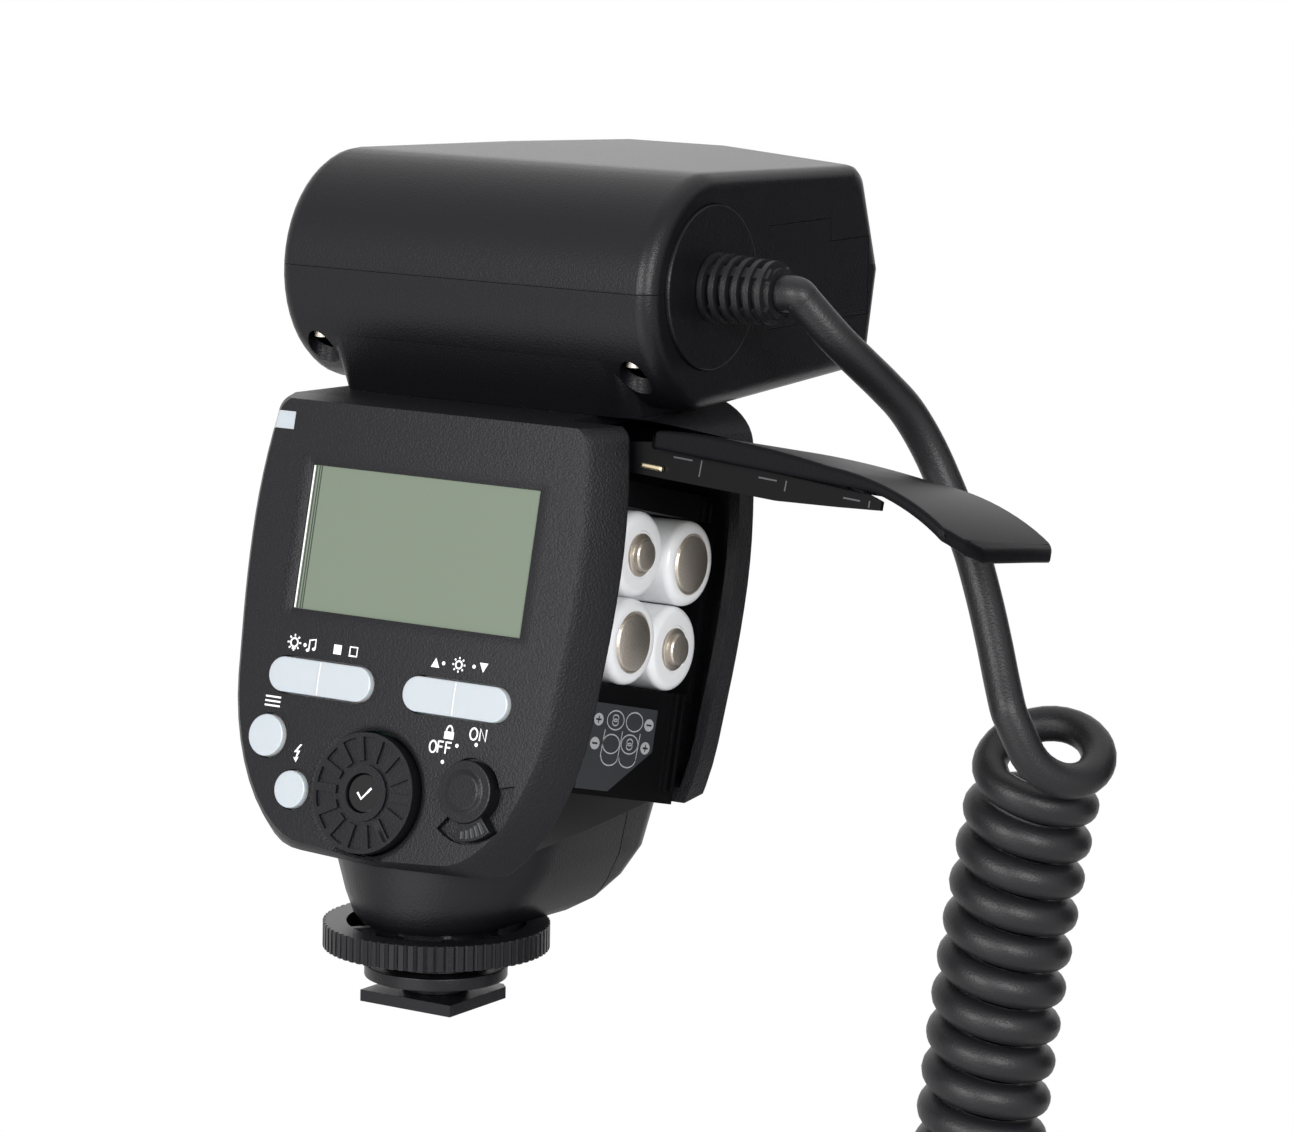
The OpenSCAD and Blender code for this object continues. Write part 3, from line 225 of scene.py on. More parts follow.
def curl_points(t):
    """The helix t turns below its start: the axis point plus the curl radius turned by 360 degrees a turn."""
    top = t < 1
    s = np.clip((t - 1) / CURLS, 0, 1)
    axis = np.where(top[:, None], bezier(LOOP, np.clip(t, 0, 1)), bezier(COIL, s))
    way = unit(np.where(top[:, None], bezier_way(LOOP, np.clip(t, 0, 1)), bezier_way(COIL, s)))
    e = unit(COIL_RIGHT - way * (way @ COIL_RIGHT)[:, None])
    f = np.cross(e, way)
    a = np.radians(COIL_START + 360 * t)[:, None]
    return axis + CURL_R * (e * np.cos(a) + f * np.sin(a))


print("first point of the helix:", curl_points(np.zeros(1)).round(1).tolist())

# %% The leads, and the whole path


def smooth_path(p, per=6):
    """Cubic through points 1 to n-2 of a list: each stretch also looks at the points before and after it."""
    p = np.asarray(p, float)
    t = np.linspace(0, 1, per, endpoint=False)[:, None]
    out = []
    for a, b, c, d in zip(p[:-3], p[1:-2], p[2:-1], p[3:]):
        square, cube = 2 * a - 5 * b + 4 * c - d, 3 * b - a - 3 * c + d
        out.append(0.5 * (2 * b + (c - a) * t + square * t**2 + cube * t**3))
    return np.concatenate(out + [p[-2:-1]])


def cord_path():
    """Upper lead, curls with a straight start and end, and lower lead, as one run of points."""
    turns = CURLS + 1
    step = 0.02
    helix = curl_points(np.linspace(0, turns, turns * POINTS_PER_CURL + 1))
    ends = curl_points(np.array([0, step, turns - step, turns]))
    way_in, way_out = unit(ends[1] - ends[0]), unit(ends[3] - ends[2])
    first, last = helix[0] - way_in * CORD_D, helix[-1] + way_out * CORD_D
    along = np.array([CORD_D, 0, 0])
    start = [BOOT_TIP - along, BOOT_TIP, BOOT_TIP + along / 2]
    upper = smooth_path(start + UPPER_LEAD + [first, (first + helix[0]) / 2])
    down = np.array([0, 0, CORD_D])
    end = [RING_TIP + down / 2, RING_TIP, RING_TIP - down]
    lower = smooth_path([(last + helix[-1]) / 2, last] + LOWER_LEAD + end)
    return np.concatenate([upper, helix, lower])


path = cord_path() * MM

# %% The cord as one tube
cord = tube("curly_cord", path, CORD_D / 2 * MM)
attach(cord, "controller")
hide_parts("cord_upper_lead", "cord_curls", "cord_lower_lead")
print("cord faces:", len(cord.data.polygons))

# %% [markdown]
# ## Finishes
#
# The case is moulded in black plastic with a fine spark-eroded grain, the head in a smoother one, and the
# buttons in milky plastic. Image textures could give the grain, but a noise in object coordinates that
# only tilts the normal is sharp at any distance. The panel's solid is flat, but it shades as if it were a
# little bowed: a second bump tilts its normals to the sides, so that its right half catches more light.

# %% A principled finish
GRAIN_DEPTH = 0.00015
GRAIN_DETAIL = 2.0


def add_grain(tree, strength, scale):
    """A noise of that many grains per metre in object coordinates, as a bump of a fixed depth."""
    place, noise, bump = (tree.nodes.new("ShaderNode" + kind) for kind in ("TexCoord", "TexNoise", "Bump"))
    noise.inputs["Scale"].default_value = scale
    noise.inputs["Detail"].default_value = GRAIN_DETAIL
    bump.inputs["Strength"].default_value = strength
    bump.inputs["Distance"].default_value = GRAIN_DEPTH
    tree.links.new(place.outputs["Object"], noise.inputs["Vector"])
    tree.links.new(noise.outputs["Fac"], bump.inputs["Height"])
    return place, bump


def add_bow(tree, place, bump, bow):
    """A height of minus bow times X squared, in metres, whose tilt goes into the grain's bump."""
    axes, square, fall, tilt = (
        tree.nodes.new("ShaderNode" + kind) for kind in ("SeparateXYZ", "Math", "Math", "Bump")
    )
    square.operation, fall.operation = "POWER", "MULTIPLY"
    square.inputs[1].default_value = 2.0
    fall.inputs[1].default_value = -bow
    tilt.inputs["Distance"].default_value = 1.0
    tree.links.new(place.outputs["Object"], axes.inputs[0])
    tree.links.new(axes.outputs["X"], square.inputs[0])
    tree.links.new(square.outputs[0], fall.inputs[0])
    tree.links.new(fall.outputs[0], tilt.inputs["Height"])
    tree.links.new(tilt.outputs["Normal"], bump.inputs["Normal"])


def finish_material(
    name, color, rough, grain=0.0, scale=0.0, metal=0.0, coat=0.0, specular=0.5, clear=0.0, milky=0.0, bow=0.0
):
    """A principled finish, with a grain and a bow where they are asked for."""
    mat = bpy.data.materials.new(name)
    mat.use_nodes = True
    tree = mat.node_tree
    bsdf = tree.nodes["Principled BSDF"]
    for socket, value in (
        ("Base Color", (*color, 1.0)), ("Roughness", rough), ("Metallic", metal), ("Coat Weight", coat),
        ("Specular IOR Level", specular), ("Transmission Weight", clear), ("Subsurface Weight", milky),
    ):
        bsdf.inputs[socket].default_value = value
    if grain:
        place, bump = add_grain(tree, grain, scale)
        tree.links.new(bump.outputs["Normal"], bsdf.inputs["Normal"])
        if bow:
            add_bow(tree, place, bump, bow)
    return mat


print("grain depth:", GRAIN_DEPTH, "m")

# %% The finishes of the record's slots
CASE_BLACK = (0.0045, 0.0045, 0.006)
CASE_GRAIN = dict(grain=0.9, scale=2600, specular=0.24)
FINISHES = {
    "case_plastic": (CASE_BLACK, 0.46, CASE_GRAIN),
    "shell_plastic": ((0.0042, 0.0042, 0.0056), 0.36, dict(grain=0.4, scale=3000, specular=0.24)),
    "gloss_plastic": ((0.003, 0.003, 0.0035), 0.16, dict(specular=0.4)),
    "milky_plastic": ((0.46, 0.47, 0.495), 0.26, dict(milky=0.15, specular=0.4)),
    "display": ((0.146, 0.176, 0.133), 0.32, dict(specular=0.3)),
    "red_plastic": ((0.16, 0.004, 0.008), 0.12, {}),
    "board": ((0.015, 0.1, 0.04), 0.35, {}),
    "label": ((0.026, 0.028, 0.032), 0.5, dict(specular=0.35)),
    "wrapper": ((0.80, 0.81, 0.83), 0.3, dict(coat=0.2)),
    "contact_metal": ((0.72, 0.6, 0.4), 0.3, dict(metal=1.0)),
    "steel": ((0.55, 0.5, 0.44), 0.42, dict(grain=0.5, scale=2500, metal=1.0)),
    "capacitor": ((0.015, 0.018, 0.022), 0.3, {}),
    "rubber": ((0.009, 0.009, 0.0102), 0.42, dict(grain=0.5, scale=2600, specular=0.3)),
    "diffuser": ((0.8, 0.81, 0.79), 0.45, dict(milky=0.1)),
    "reflector": ((0.8, 0.8, 0.82), 0.15, dict(metal=1.0)),
    "tube_glass": ((0.9, 0.93, 0.95), 0.05, dict(clear=0.8)),
}
MATS = {name: finish_material(name, color, rough, **more) for name, (color, rough, more) in FINISHES.items()}
print("finishes:", len(MATS))

# %% Finishes of prints and of painted highlights and shades, and of four solids that differ from their slot
# Besides print, the white also paints a highlight on the display's edge. The milky line and the pale rib grey
# are painted highlights, and the milky shade is a painted shadow. The dark line colour also paints the
# shadows beside the switch's ribs.
PRINT_AND_HIGHLIGHT_WHITE = finish_material("print_and_highlight_white", (0.82, 0.82, 0.82), 0.5)
PRINT_GREY = finish_material("print_grey", (0.36, 0.37, 0.39), 0.5)
DARK_LINE_AND_SHADE = finish_material("dark_line_and_shade", (0.02, 0.026, 0.02), 0.3)
RIDGE_HIGHLIGHT = finish_material("painted_ridge_highlight", (0.66, 0.68, 0.71), 0.3)
MILKY_SHADE = finish_material("milky_shade", (0.40, 0.42, 0.46), 0.3)
PAINTED_HIGHLIGHT_GREY = finish_material("painted_highlight_grey", (0.05, 0.05, 0.055), 0.4)
PANEL_BOW = finish_material("panel_bow", CASE_BLACK, 0.46, **CASE_GRAIN, bow=2.0)
DOOR_BLACK = finish_material(
    "door_black", (0.0035, 0.0035, 0.0045), 0.45, grain=0.35, scale=2600, specular=0.08
)
BAY_DARK = finish_material("bay_dark", (0.0035, 0.0035, 0.004), 0.28, specular=0.12)
SPECIAL = {
    "battery_cage": BAY_DARK, "door_hinge_plate": BAY_DARK, "rear_panel": PANEL_BOW, "door_cover": DOOR_BLACK,
}
print("special finishes:", len(SPECIAL))

# %% Paint the solids and the cord
node_slot = {s["node"]: s["material_slot"] for s in frame["record"]["subparts"]}


def paint(obj, mat):
    """Puts one material on every material slot of an object."""
    if not obj.material_slots:
        obj.data.materials.append(mat)
    for s in obj.material_slots:
        s.link = "OBJECT"
        s.material = mat


for name, obj in nodes.items():
    paint(obj, SPECIAL.get(name, MATS[node_slot[name]]))
paint(cord, MATS["rubber"])
print("painted", len(nodes), "solids and the cord")

# %% [markdown]
# ## Smooth shading on the CAD solids
#
# The solids come as loose triangles. Shading them all smooth would smear light over real edges. So a
# small node modifier welds their corners and shades them smooth, except over edges that turn by more than
# an angle: hulled shells look round and their real edges stay crisp.

# %% The smoothing group
WELD = 0.000002
CREASE = math.radians(32)


def smooth_group(angle):
    """A modifier group: merge by distance, smooth faces, and sharp edges where the angle is larger."""
    group = bpy.data.node_groups.new("smooth_by_angle", "GeometryNodeTree")
    for way in ("INPUT", "OUTPUT"):
        group.interface.new_socket("Geometry", in_out=way, socket_type="NodeSocketGeometry")
    add = group.nodes.new
    start, end = add("NodeGroupInput"), add("NodeGroupOutput")
    merge, turn = add("GeometryNodeMergeByDistance"), add("GeometryNodeInputMeshEdgeAngle")
    faces, edges = add("GeometryNodeSetShadeSmooth"), add("GeometryNodeSetShadeSmooth")
    more = add("FunctionNodeCompare")
    merge.inputs["Distance"].default_value = WELD
    faces.domain, edges.domain = "FACE", "EDGE"
    edges.inputs["Shade Smooth"].default_value = False
    more.data_type, more.operation = "FLOAT", "GREATER_THAN"
    more.inputs[1].default_value = angle
    link = group.links.new
    link(start.outputs[0], merge.inputs["Geometry"])
    link(merge.outputs["Geometry"], faces.inputs["Geometry"])
    link(faces.outputs["Geometry"], edges.inputs["Geometry"])
    link(turn.outputs["Unsigned Angle"], more.inputs[0])
    link(more.outputs["Result"], edges.inputs["Selection"])
    link(edges.outputs["Geometry"], end.inputs[0])
    return group


SMOOTH = smooth_group(CREASE)
print("edges stay crisp over", round(math.degrees(CREASE)), "degrees")

# %% [markdown]
# ## The leaning frame of the panel
#
# The rear panel leans back, and most details lie on it or square to it. They could be drawn upright and
# turned as objects, but a finished piece has its place in its mesh. So they are drawn in the panel's own
# frame, in millimetres, and one function takes them into space: u is to the right, v up the panel and d
# behind its face.

# %% From the leaning frame into space
LEAN = math.radians(13.0)
PANEL_Y, PANEL_Z = -17.6, 38.3


def panel_points(u, v, d=0.0):
    """Points in metres: v and d turn about X by the lean, from the panel's own origin."""
    u, v, d = np.broadcast_arrays(np.asarray(u, float), v, d)
    y = PANEL_Y + d * math.cos(LEAN) + v * math.sin(LEAN)
    z = PANEL_Z - d * math.sin(LEAN) + v * math.cos(LEAN)
    return np.stack([u, y, z], axis=-1) * MM


def on_face(d):
    """A placer for flat points (u, v) at one depth."""
    return lambda p: panel_points(p[:, 0], p[:, 1], d)


print("panel origin", panel_points(0.0, 0.0).round(4).tolist())

# %% [markdown]
# ## The bezel and the moat
#
# The display sits in a sloping bezel, and the dial in a shallow moat. Both could be new surfaces on the
# panel, but a Boolean modifier with a funnel for a cutter takes them out of the solid's own face, and
# leaves no seam.

# %% Funnels that cut the panel
ABOVE_FACE = 0.8


def funnel(name, inner, outer, depth):
    """A closed cutter: inner outline at a depth, outer one at the face, and the slope carried on."""
    out = inner + (outer - inner) * (1 + ABOVE_FACE / depth)
    rows = [panel_points(p[:, 0], p[:, 1], d) for p, d in ((inner, depth), (out, -ABOVE_FACE))]
    n = len(inner)
    faces = grid_faces(2, n).tolist() + [list(range(n - 1, -1, -1)), list(range(n, 2 * n))]
    mesh = bpy.data.meshes.new(name)
    mesh.from_pydata(np.concatenate(rows).tolist(), [], faces)
    return bpy.data.objects.new(name, mesh)


def rectangle(u, v, half_u, half_v, r, per=5):
    """A rectangle with round corners of radius r, anticlockwise from its right side."""
    a = np.radians(np.linspace(0, 90, per))
    arcs = [
        np.column_stack([su * (half_u - r) + r * np.cos(a + q), sv * (half_v - r) + r * np.sin(a + q)])
        for su, sv, q in ((1, 1, 0), (-1, 1, math.pi / 2), (-1, -1, math.pi), (1, -1, 1.5 * math.pi))
    ]
    return np.concatenate(arcs) + (u, v)


def circle(u, v, r, count=64):
    """A circle of radius r: its points are r times the cosine and the sine of evenly spaced angles."""
    a = np.linspace(0, 2 * np.pi, count, endpoint=False)
    return np.column_stack([u + r * np.cos(a), v + r * np.sin(a)])


DISPLAY_V, DIAL_U = 41.2, -2
bezel_in, bezel_out = rectangle(0, DISPLAY_V, 23.2, 12.2, 0.3), rectangle(0.3, DISPLAY_V, 25.6, 14.4, 2.0)
CUTS = {
    "rear_panel": [
        funnel("bezel", bezel_in, bezel_out, 0.75),
        funnel("moat", circle(DIAL_U, 0, 10.5), circle(DIAL_U, 0, 11.9), 0.7),
    ]
}
print("cutters:", [cutter.name for cutter in CUTS["rear_panel"]])

# %% [markdown]
# ## Broken edges
#
# A moulded edge is never sharp, and its small round catches a thin line of light. The rounds could be
# part of the CAD solids, but a Bevel modifier is quicker to tune. It rounds the solids in a table, each
# by its own width in millimetres. The door's cover is rounder than the rest.

# %% Round the edges of the solids
EDGES = {
    "rear_panel": 0.3, "front_case": 0.3, "head_upper_shell": 0.3, "head_lower_shell": 0.3,
    "base_housing": 0.3, "front_base_cover": 0.3, "door_cover": 0.8, "door_hinge_plate": 0.2,
    "battery_cage": 0.25, "left_rocker": 0.6, "right_rocker": 0.6, "mode_button": 0.6, "test_button": 0.6,
    "selector_dial": 0.2, "set_button": 0.4, "power_switch": 0.35, "lock_wheel": 0.2, "clamp_disc": 0.3,
    "shoe_foot": 0.25, "cord_boot": 0.3, "ring_boot": 0.3, "cord_boss": 0.35, "head_side_cover": 0.15,
    "ring_rear_shell": 0.6, "ring_front_shell": 0.6, "ring_diffusers": 0.3, "left_release": 0.4,
    "right_release": 0.4,
}
WIDE_EDGE = 0.7
FLAT = math.radians(0.4)
EDGE_TURN = math.radians(35)


def break_edges(obj, width, cutters):
    """Modifiers that join the triangles of flat faces, cut the funnels and round edges that turn enough."""
    obj.modifiers.new("weld", "WELD").merge_threshold = WELD
    for cutter in cutters:
        cut = obj.modifiers.new(cutter.name, "BOOLEAN")
        cut.operation, cut.solver, cut.object = "DIFFERENCE", "EXACT", cutter
    flat = obj.modifiers.new("flat", "DECIMATE")
    flat.decimate_type = "DISSOLVE"
    flat.angle_limit = FLAT
    bevel = obj.modifiers.new("edge", "BEVEL")
    bevel.width = width * MM
    bevel.segments = 2 if width < WIDE_EDGE else 4
    bevel.use_clamp_overlap = width < WIDE_EDGE
    bevel.limit_method = "ANGLE"
    bevel.angle_limit = EDGE_TURN


for name, obj in nodes.items():
    if name in EDGES:
        break_edges(obj, EDGES[name], CUTS.get(name, []))
    obj.modifiers.new("smooth", "NODES").node_group = SMOOTH
    if name in EDGES:
        obj.modifiers.new("even", "WEIGHTED_NORMAL").keep_sharp = True
print("rounded the edges of", len(EDGES), "solids, smoothed", len(nodes))

# %% [markdown]
# ## Marks on the panel
#
# The marks are screen-printed in white: plain pictograms, and ON and OFF at the switch. A texture would
# need an image, so each mark is a flat ribbon or patch that lies a hair above its face.

# %% Ribbons and patches


def ribbon(line, width):
    """Both sides of a flat ribbon: each point moves half the width along its neighbours' mean normal."""
    line = np.asarray(line, float)
    seg = unit(np.diff(line, axis=0))
    way = unit(np.vstack([seg[:1], seg[:-1] + seg[1:], seg[-1:]]))
    normal = np.column_stack([-way[:, 1], way[:, 0]]) * width / 2
    return np.stack([line + normal, line - normal], axis=1).reshape(-1, 2)


def print_marks(name, lines, patches, place, body, mat, width=0.3):
    """One mesh of all ribbons and filled patches of a print; place turns its plane points into space."""
    points, faces, start = [], [], 0
    for line in lines:
        r = ribbon(line, width)
        k = start + 2 * np.arange(len(r) // 2 - 1)
        faces += np.column_stack([k, k + 1, k + 3, k + 2]).tolist()
        points.append(r)
        start += len(r)
    for patch in patches:
        faces.append(list(range(start, start + len(patch))))
        points.append(np.asarray(patch, float))
        start += len(patch)
    obj = make_mesh(name, place(np.concatenate(points)), faces, smooth=False)
    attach(obj, body)
    paint(obj, mat)


print("corners of a straight ribbon:", len(ribbon([[0, 0], [1, 0]], 0.3)))

# %% Shapes that the marks are drawn with


def loop(u, v, ru, rv=None, a0=0.0, a1=360.0, count=25):
    """An ellipse, or part of one, about (u, v): the radii times the cosine and the sine of the angle."""
    a = np.radians(np.linspace(a0, a1, count))
    return np.column_stack([u + ru * np.cos(a), v + (rv or ru) * np.sin(a)])


def disc(u, v, ru, rv=None, count=13):
    """The corners of a filled ellipse."""
    return loop(u, v, ru, rv, count=count)[:-1]


def rays(u, v, r0, r1):
    """Eight short lines from one radius to another."""
    inner, outer = loop(u, v, r0, count=9), loop(u, v, r1, count=9)
    return [np.stack([inner[k], outer[k]]) for k in range(8)]


def at(u, v, *shape):
    """A small shape of (u, v) points moved to its place."""
    return np.asarray(shape, float) + (u, v)


print("corners of a disc:", len(disc(0, 0, 1)), "and rays of a lamp:", len(rays(0, 0, 1, 2)))

# %% Marks above the rockers


def rocker_marks():
    """A bulb and a note, a full and an empty square, and a lamp between two arrows."""
    lines = [loop(-21.26, 23.2, 0.72)] + rays(-21.26, 23.2, 1.0, 1.42)
    lines += [at(-21.26, 22.2, (-0.4, 0), (0.4, 0))]
    lines += [at(-17.6, 22.2, (-0.5, 0), (-0.5, 1.7), (0.75, 1.95), (0.75, 0.3))]
    lines += [at(-8.9, 23.0, (-0.75, -0.75), (0.75, -0.75), (0.75, 0.75), (-0.75, 0.75), (-0.75, -0.9))]
    lines += [loop(12.56, 23.3, 0.62)] + rays(12.56, 23.3, 0.95, 1.3)
    patches = [disc(-18.35, 22.2, 0.36, 0.28, 12), disc(-17.1, 22.5, 0.36, 0.28, 12)]
    patches += [at(-12.2, 23.0, (-0.8, -0.8), (0.8, -0.8), (0.8, 0.8), (-0.8, 0.8))]
    patches += [at(7.9, 23.1, (-0.85, -0.75), (0.85, -0.75), (0, 0.85))]
    patches += [at(17.5, 23.4, (-0.85, 0.75), (0, -0.85), (0.85, 0.75))]
    patches += [disc(u, v, 0.34) for u, v in ((-19.0, 23.0), (9.5, 23.2), (15.6, 23.35))]
    return lines, patches


print("lines and patches above the rockers:", [len(part) for part in rocker_marks()])

# %% Marks beside the buttons and the switch
BOLT = (
    (0.35, 1.5), (-0.75, 0.05), (-0.1, 0.12), (-0.3, -0.85), (-0.75, -0.75), (-0.1, -1.6), (0.35, -0.6),
    (0.0, -0.75), (0.5, 0.45), (-0.1, 0.4), (0.75, 1.5),
)


def button_marks():
    """Three bars over the mode button, and a bolt over the test button."""
    bars = [at(-23.96, 12.9 + k, (-1.6, 0), (1.6, 0)) for k in (-0.75, 0.0, 0.75)]
    return bars, [at(-17.35, 4.9, *BOLT)]


def switch_marks():
    """A padlock, ON and OFF, and the three dots that the switch points at."""
    lines = [loop(12.6, 12.2, 0.6, 0.95, 0, 180, 13), loop(17.45, 12.4, 0.72, 0.95)]
    lines += [at(19.3, 12.4, (-0.6, -1.0), (-0.6, 1.0), (0.6, -1.0), (0.6, 1.0)), loop(9.75, 9.4, 0.66, 0.95)]
    for u in (11.2, 12.75):
        lines += [at(u, 9.5, (-0.45, -1.0), (-0.45, 1.0)), at(u, 9.5, (-0.45, 0.9), (0.6, 0.9))]
        lines += [at(u, 9.5, (-0.45, 0.05), (0.45, 0.05))]
    patches = [at(12.6, 11.7, (-0.95, -0.75), (0.95, -0.75), (0.95, 0.5), (-0.95, 0.5))]
    return lines, patches + [disc(u, v, 0.34) for u, v in ((12.06, 7.1), (14.46, 10.08), (18.22, 10.69))]


print("lines and patches at the switch:", [len(part) for part in switch_marks()])

# %% Print the panel and the set button
HAIR = 0.02
SET_PROUD = 1.0
TICK = ((-1.3, 0.1), (-0.4, -0.9), (1.4, 1.1))
groups = [rocker_marks(), button_marks(), switch_marks()]
lines, patches = (sum((group[k] for group in groups), []) for k in (0, 1))
print_marks("panel_print", lines, patches, on_face(-HAIR), "controller", PRINT_AND_HIGHLIGHT_WHITE)
print_marks(
    "set_print", [at(DIAL_U, -0.1, *TICK)], [], on_face(-SET_PROUD - HAIR), "set_button", PRINT_AND_HIGHLIGHT_WHITE,
    0.4,
)
print("printed", len(lines), "lines and", len(patches), "patches on the panel")

# %% [markdown]
# ## Ridges of the rockers
#
# A fine bowed ridge parts the two halves of each rocker. It is too small for a solid, so a pale line is
# a painted highlight on its lit side, and a darker one beside it is a painted shadow.

# %% Draw the ridges' painted highlights and shadows
ROCKERS = {"left": (-14.5, 17.7), "right": (13.2, 17.6)}
RIDGE_HALF, RIDGE_BOW, RIDGE_SHADE = 2.75, 0.12, 0.28
RIDGE_W = 0.25
ROCKER_PROUD = 0.9
for side, (u, v) in ROCKERS.items():
    along = np.linspace(-1, 1, 9)
    bow = np.column_stack([u - RIDGE_BOW * np.cos(1.2 * along), v + RIDGE_HALF * along])
    # The ridge line is a painted highlight, and the groove line is a painted shadow beside it.
    for part, line, lift, mat in (
        ("ridge", bow, 0.025, RIDGE_HIGHLIGHT), ("groove", bow - (RIDGE_SHADE, 0), 0.02, MILKY_SHADE),
    ):
        print_marks(
            f"{side}_rocker_{part}", [line], [], on_face(-ROCKER_PROUD - lift), side + "_rocker", mat,
            RIDGE_W,
        )
print("ridges on", len(ROCKERS), "rockers")

# %% [markdown]
# ## Details of the switch
#
# A small dark hole on the knob's rim points at ON, and five ribs on the grip catch the light on one side:
# a painted highlight stands for each lit side, with a painted shadow beside it. They are drawn like the
# prints, and ride on the switch so that they turn with it.

# %% Painted highlights and shadows of the ribs, and index hole
SWITCH_U, SWITCH_V = 18.35, 2.85
GRIP_PROUD, KNOB_PROUD = 1.2, 1.9
RIBS, RIB_STEP, RIB_FIRST, RIB_SHADE = 5, 8, -88, 3
RIB_START, RIB_GROW, RIB_END, RIB_W = 6.5, 0.2, 7.7, 0.28
HOLE_U, HOLE_V, HOLE_R = SWITCH_U - 0.1, SWITCH_V + 4.35, 0.42


def spokes(first):
    """Radial lines about the switch, a step apart, each a little longer than the one before."""
    k = np.arange(RIBS)
    a = np.radians(first + RIB_STEP * k)[:, None, None]
    r = np.stack([RIB_START - RIB_GROW * k, np.full(RIBS, RIB_END)], axis=1)[..., None]
    return list(np.concatenate([SWITCH_U + r * np.cos(a), SWITCH_V + r * np.sin(a)], axis=2))


hole = disc(HOLE_U, HOLE_V, HOLE_R, count=17)
# The first two prints are painted highlights on the ribs' lit sides and painted shadows beside them; the
# third is the index hole.
for title, strokes, spots, proud, mat in (
    ("switch_rib_highlights", spokes(RIB_FIRST), [], GRIP_PROUD, PAINTED_HIGHLIGHT_GREY),
    ("switch_shades", spokes(RIB_FIRST + RIB_SHADE), [], GRIP_PROUD, DARK_LINE_AND_SHADE),
    ("switch_index", [], [hole], KNOB_PROUD, MATS["gloss_plastic"]),
):
    print_marks(title, strokes, spots, on_face(-proud - HAIR), "power_switch", mat, RIB_W)
print("switch ribs:", RIBS)

# %% [markdown]
# ## The display
#
# Light runs along the left edge of the display's glass, so a white line there is a painted highlight, and
# thin dark lines beside it are the edges of its layers. A stack of glass sheets would show them too, but
# four lines on the glass look the same from outside.

# %% Lines on the glass
GLASS_D = 0.97
# The white line on the glass's left edge is a painted highlight.
edge = [[[-22.95, 29.1], [-22.95, 53.3]]]
layers = [[[u, 29.05], [u, 53.35]] for u in (-22.5, -21.9, -21.45)]
print_marks("glass_edge_highlight", edge, [], on_face(GLASS_D), "controller", PRINT_AND_HIGHLIGHT_WHITE, 0.3)
print_marks("glass_layers", layers, [], on_face(GLASS_D), "controller", DARK_LINE_AND_SHADE, 0.22)
print("display edge lines:", len(edge) + len(layers))

# %% [markdown]
# ## The cells
#
# Each AA cell is two lathed pieces: the white wrapper, with its rounded shoulders, and the steel that
# shows at the outer end, which is a nub on two cells and a flat disc on the other two. A cylinder with
# bevels would do for the wrapper, but a profile turned about the cell's axis gives both pieces in one
# way.

# %% A lathe about a line along u
CELL_END, CELL_L, CELL_R = 32.9, 50.5, 7.25
BAY_D, BAY_V, PITCH = 28.0, 38.4, 14.6


def lathe(name, profile, d, v, sides=48):
    """A surface of revolution about a line along u through (d, v); the profile holds (u, radius) pairs."""
    profile = np.asarray(profile, float)
    a = np.linspace(0, 2 * np.pi, sides, endpoint=False)
    u = np.repeat(profile[:, :1], sides, axis=1)
    points = panel_points(u, v + profile[:, 1:] * np.sin(a), d + profile[:, 1:] * np.cos(a))
    return make_mesh(name, points.reshape(-1, 3), closed_faces(len(profile), sides))


def shoulder(u, r, radius, sign):
    """A quarter circle from the side of a cell to its end: sign is 1 at the outer end."""
    a = np.radians(np.linspace(0, 90, 7))
    return np.column_stack([u - sign * radius * (1 - np.sin(a)), r - radius * (1 - np.cos(a))])


print("points on a shoulder:", len(shoulder(0, CELL_R, 1, 1)))

# %% The profiles of a cell
NUB_L, DISC_L = 1.3, 0.33
NUB_LIP, DISC_LIP = 4.1, 5.3
INNER_ROUND, OUTER_ROUND = 0.9, 1.5
AXIS_R = 0.02


def wrapper_profile(out, inner_end, lip):
    """Both shoulders and the wrapper's edge, which turns in at the lip."""
    inner = shoulder(inner_end, CELL_R, INNER_ROUND, -1)[::-1]
    outer = shoulder(out, CELL_R, OUTER_ROUND, 1)
    return np.concatenate([inner, outer, [(out, lip), (out - 0.3, lip - 0.1)]])


def nub_profile(out):
    """The plus end: a low step and a nub with a rounded rim."""
    return [
        (out - 0.6, 3.6), (out + 0.1, 3.6), (out + 0.25, 3.35), (out + 0.3, 2.75), (CELL_END - 0.35, 2.7),
        (CELL_END - 0.1, 2.5), (CELL_END, 2.1), (CELL_END, AXIS_R),
    ]


def disc_profile(out):
    """The minus end: a flat disc with a fine groove near its rim."""
    return [
        (out - 0.6, 5.15), (out - 0.05, 5.15), (out + 0.05, 5.05), (out - 0.02, 4.85), (out + 0.2, 4.7),
        (CELL_END, 4.4), (CELL_END, AXIS_R),
    ]


print("points on a nub and on a disc:", len(nub_profile(CELL_END)), len(disc_profile(CELL_END)))

# %% Four cells in the bay


def make_cell(name, d, v, nub_out):
    """The wrapper, which replaces the CAD cell, and the steel of the end that shows."""
    out = CELL_END - (NUB_L if nub_out else DISC_L)
    inner_end = CELL_END - CELL_L + (DISC_L if nub_out else NUB_L)
    lip = NUB_LIP if nub_out else DISC_LIP
    wrapper = lathe(name + "_wrapper", wrapper_profile(out, inner_end, lip), d, v)
    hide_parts(name)
    end = lathe(name + "_steel", nub_profile(out) if nub_out else disc_profile(out), d, v)
    for obj, slot in ((wrapper, "wrapper"), (end, "steel")):
        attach(obj, "controller")
        paint(obj, MATS[slot])
        obj.modifiers.new("smooth", "NODES").node_group = SMOOTH


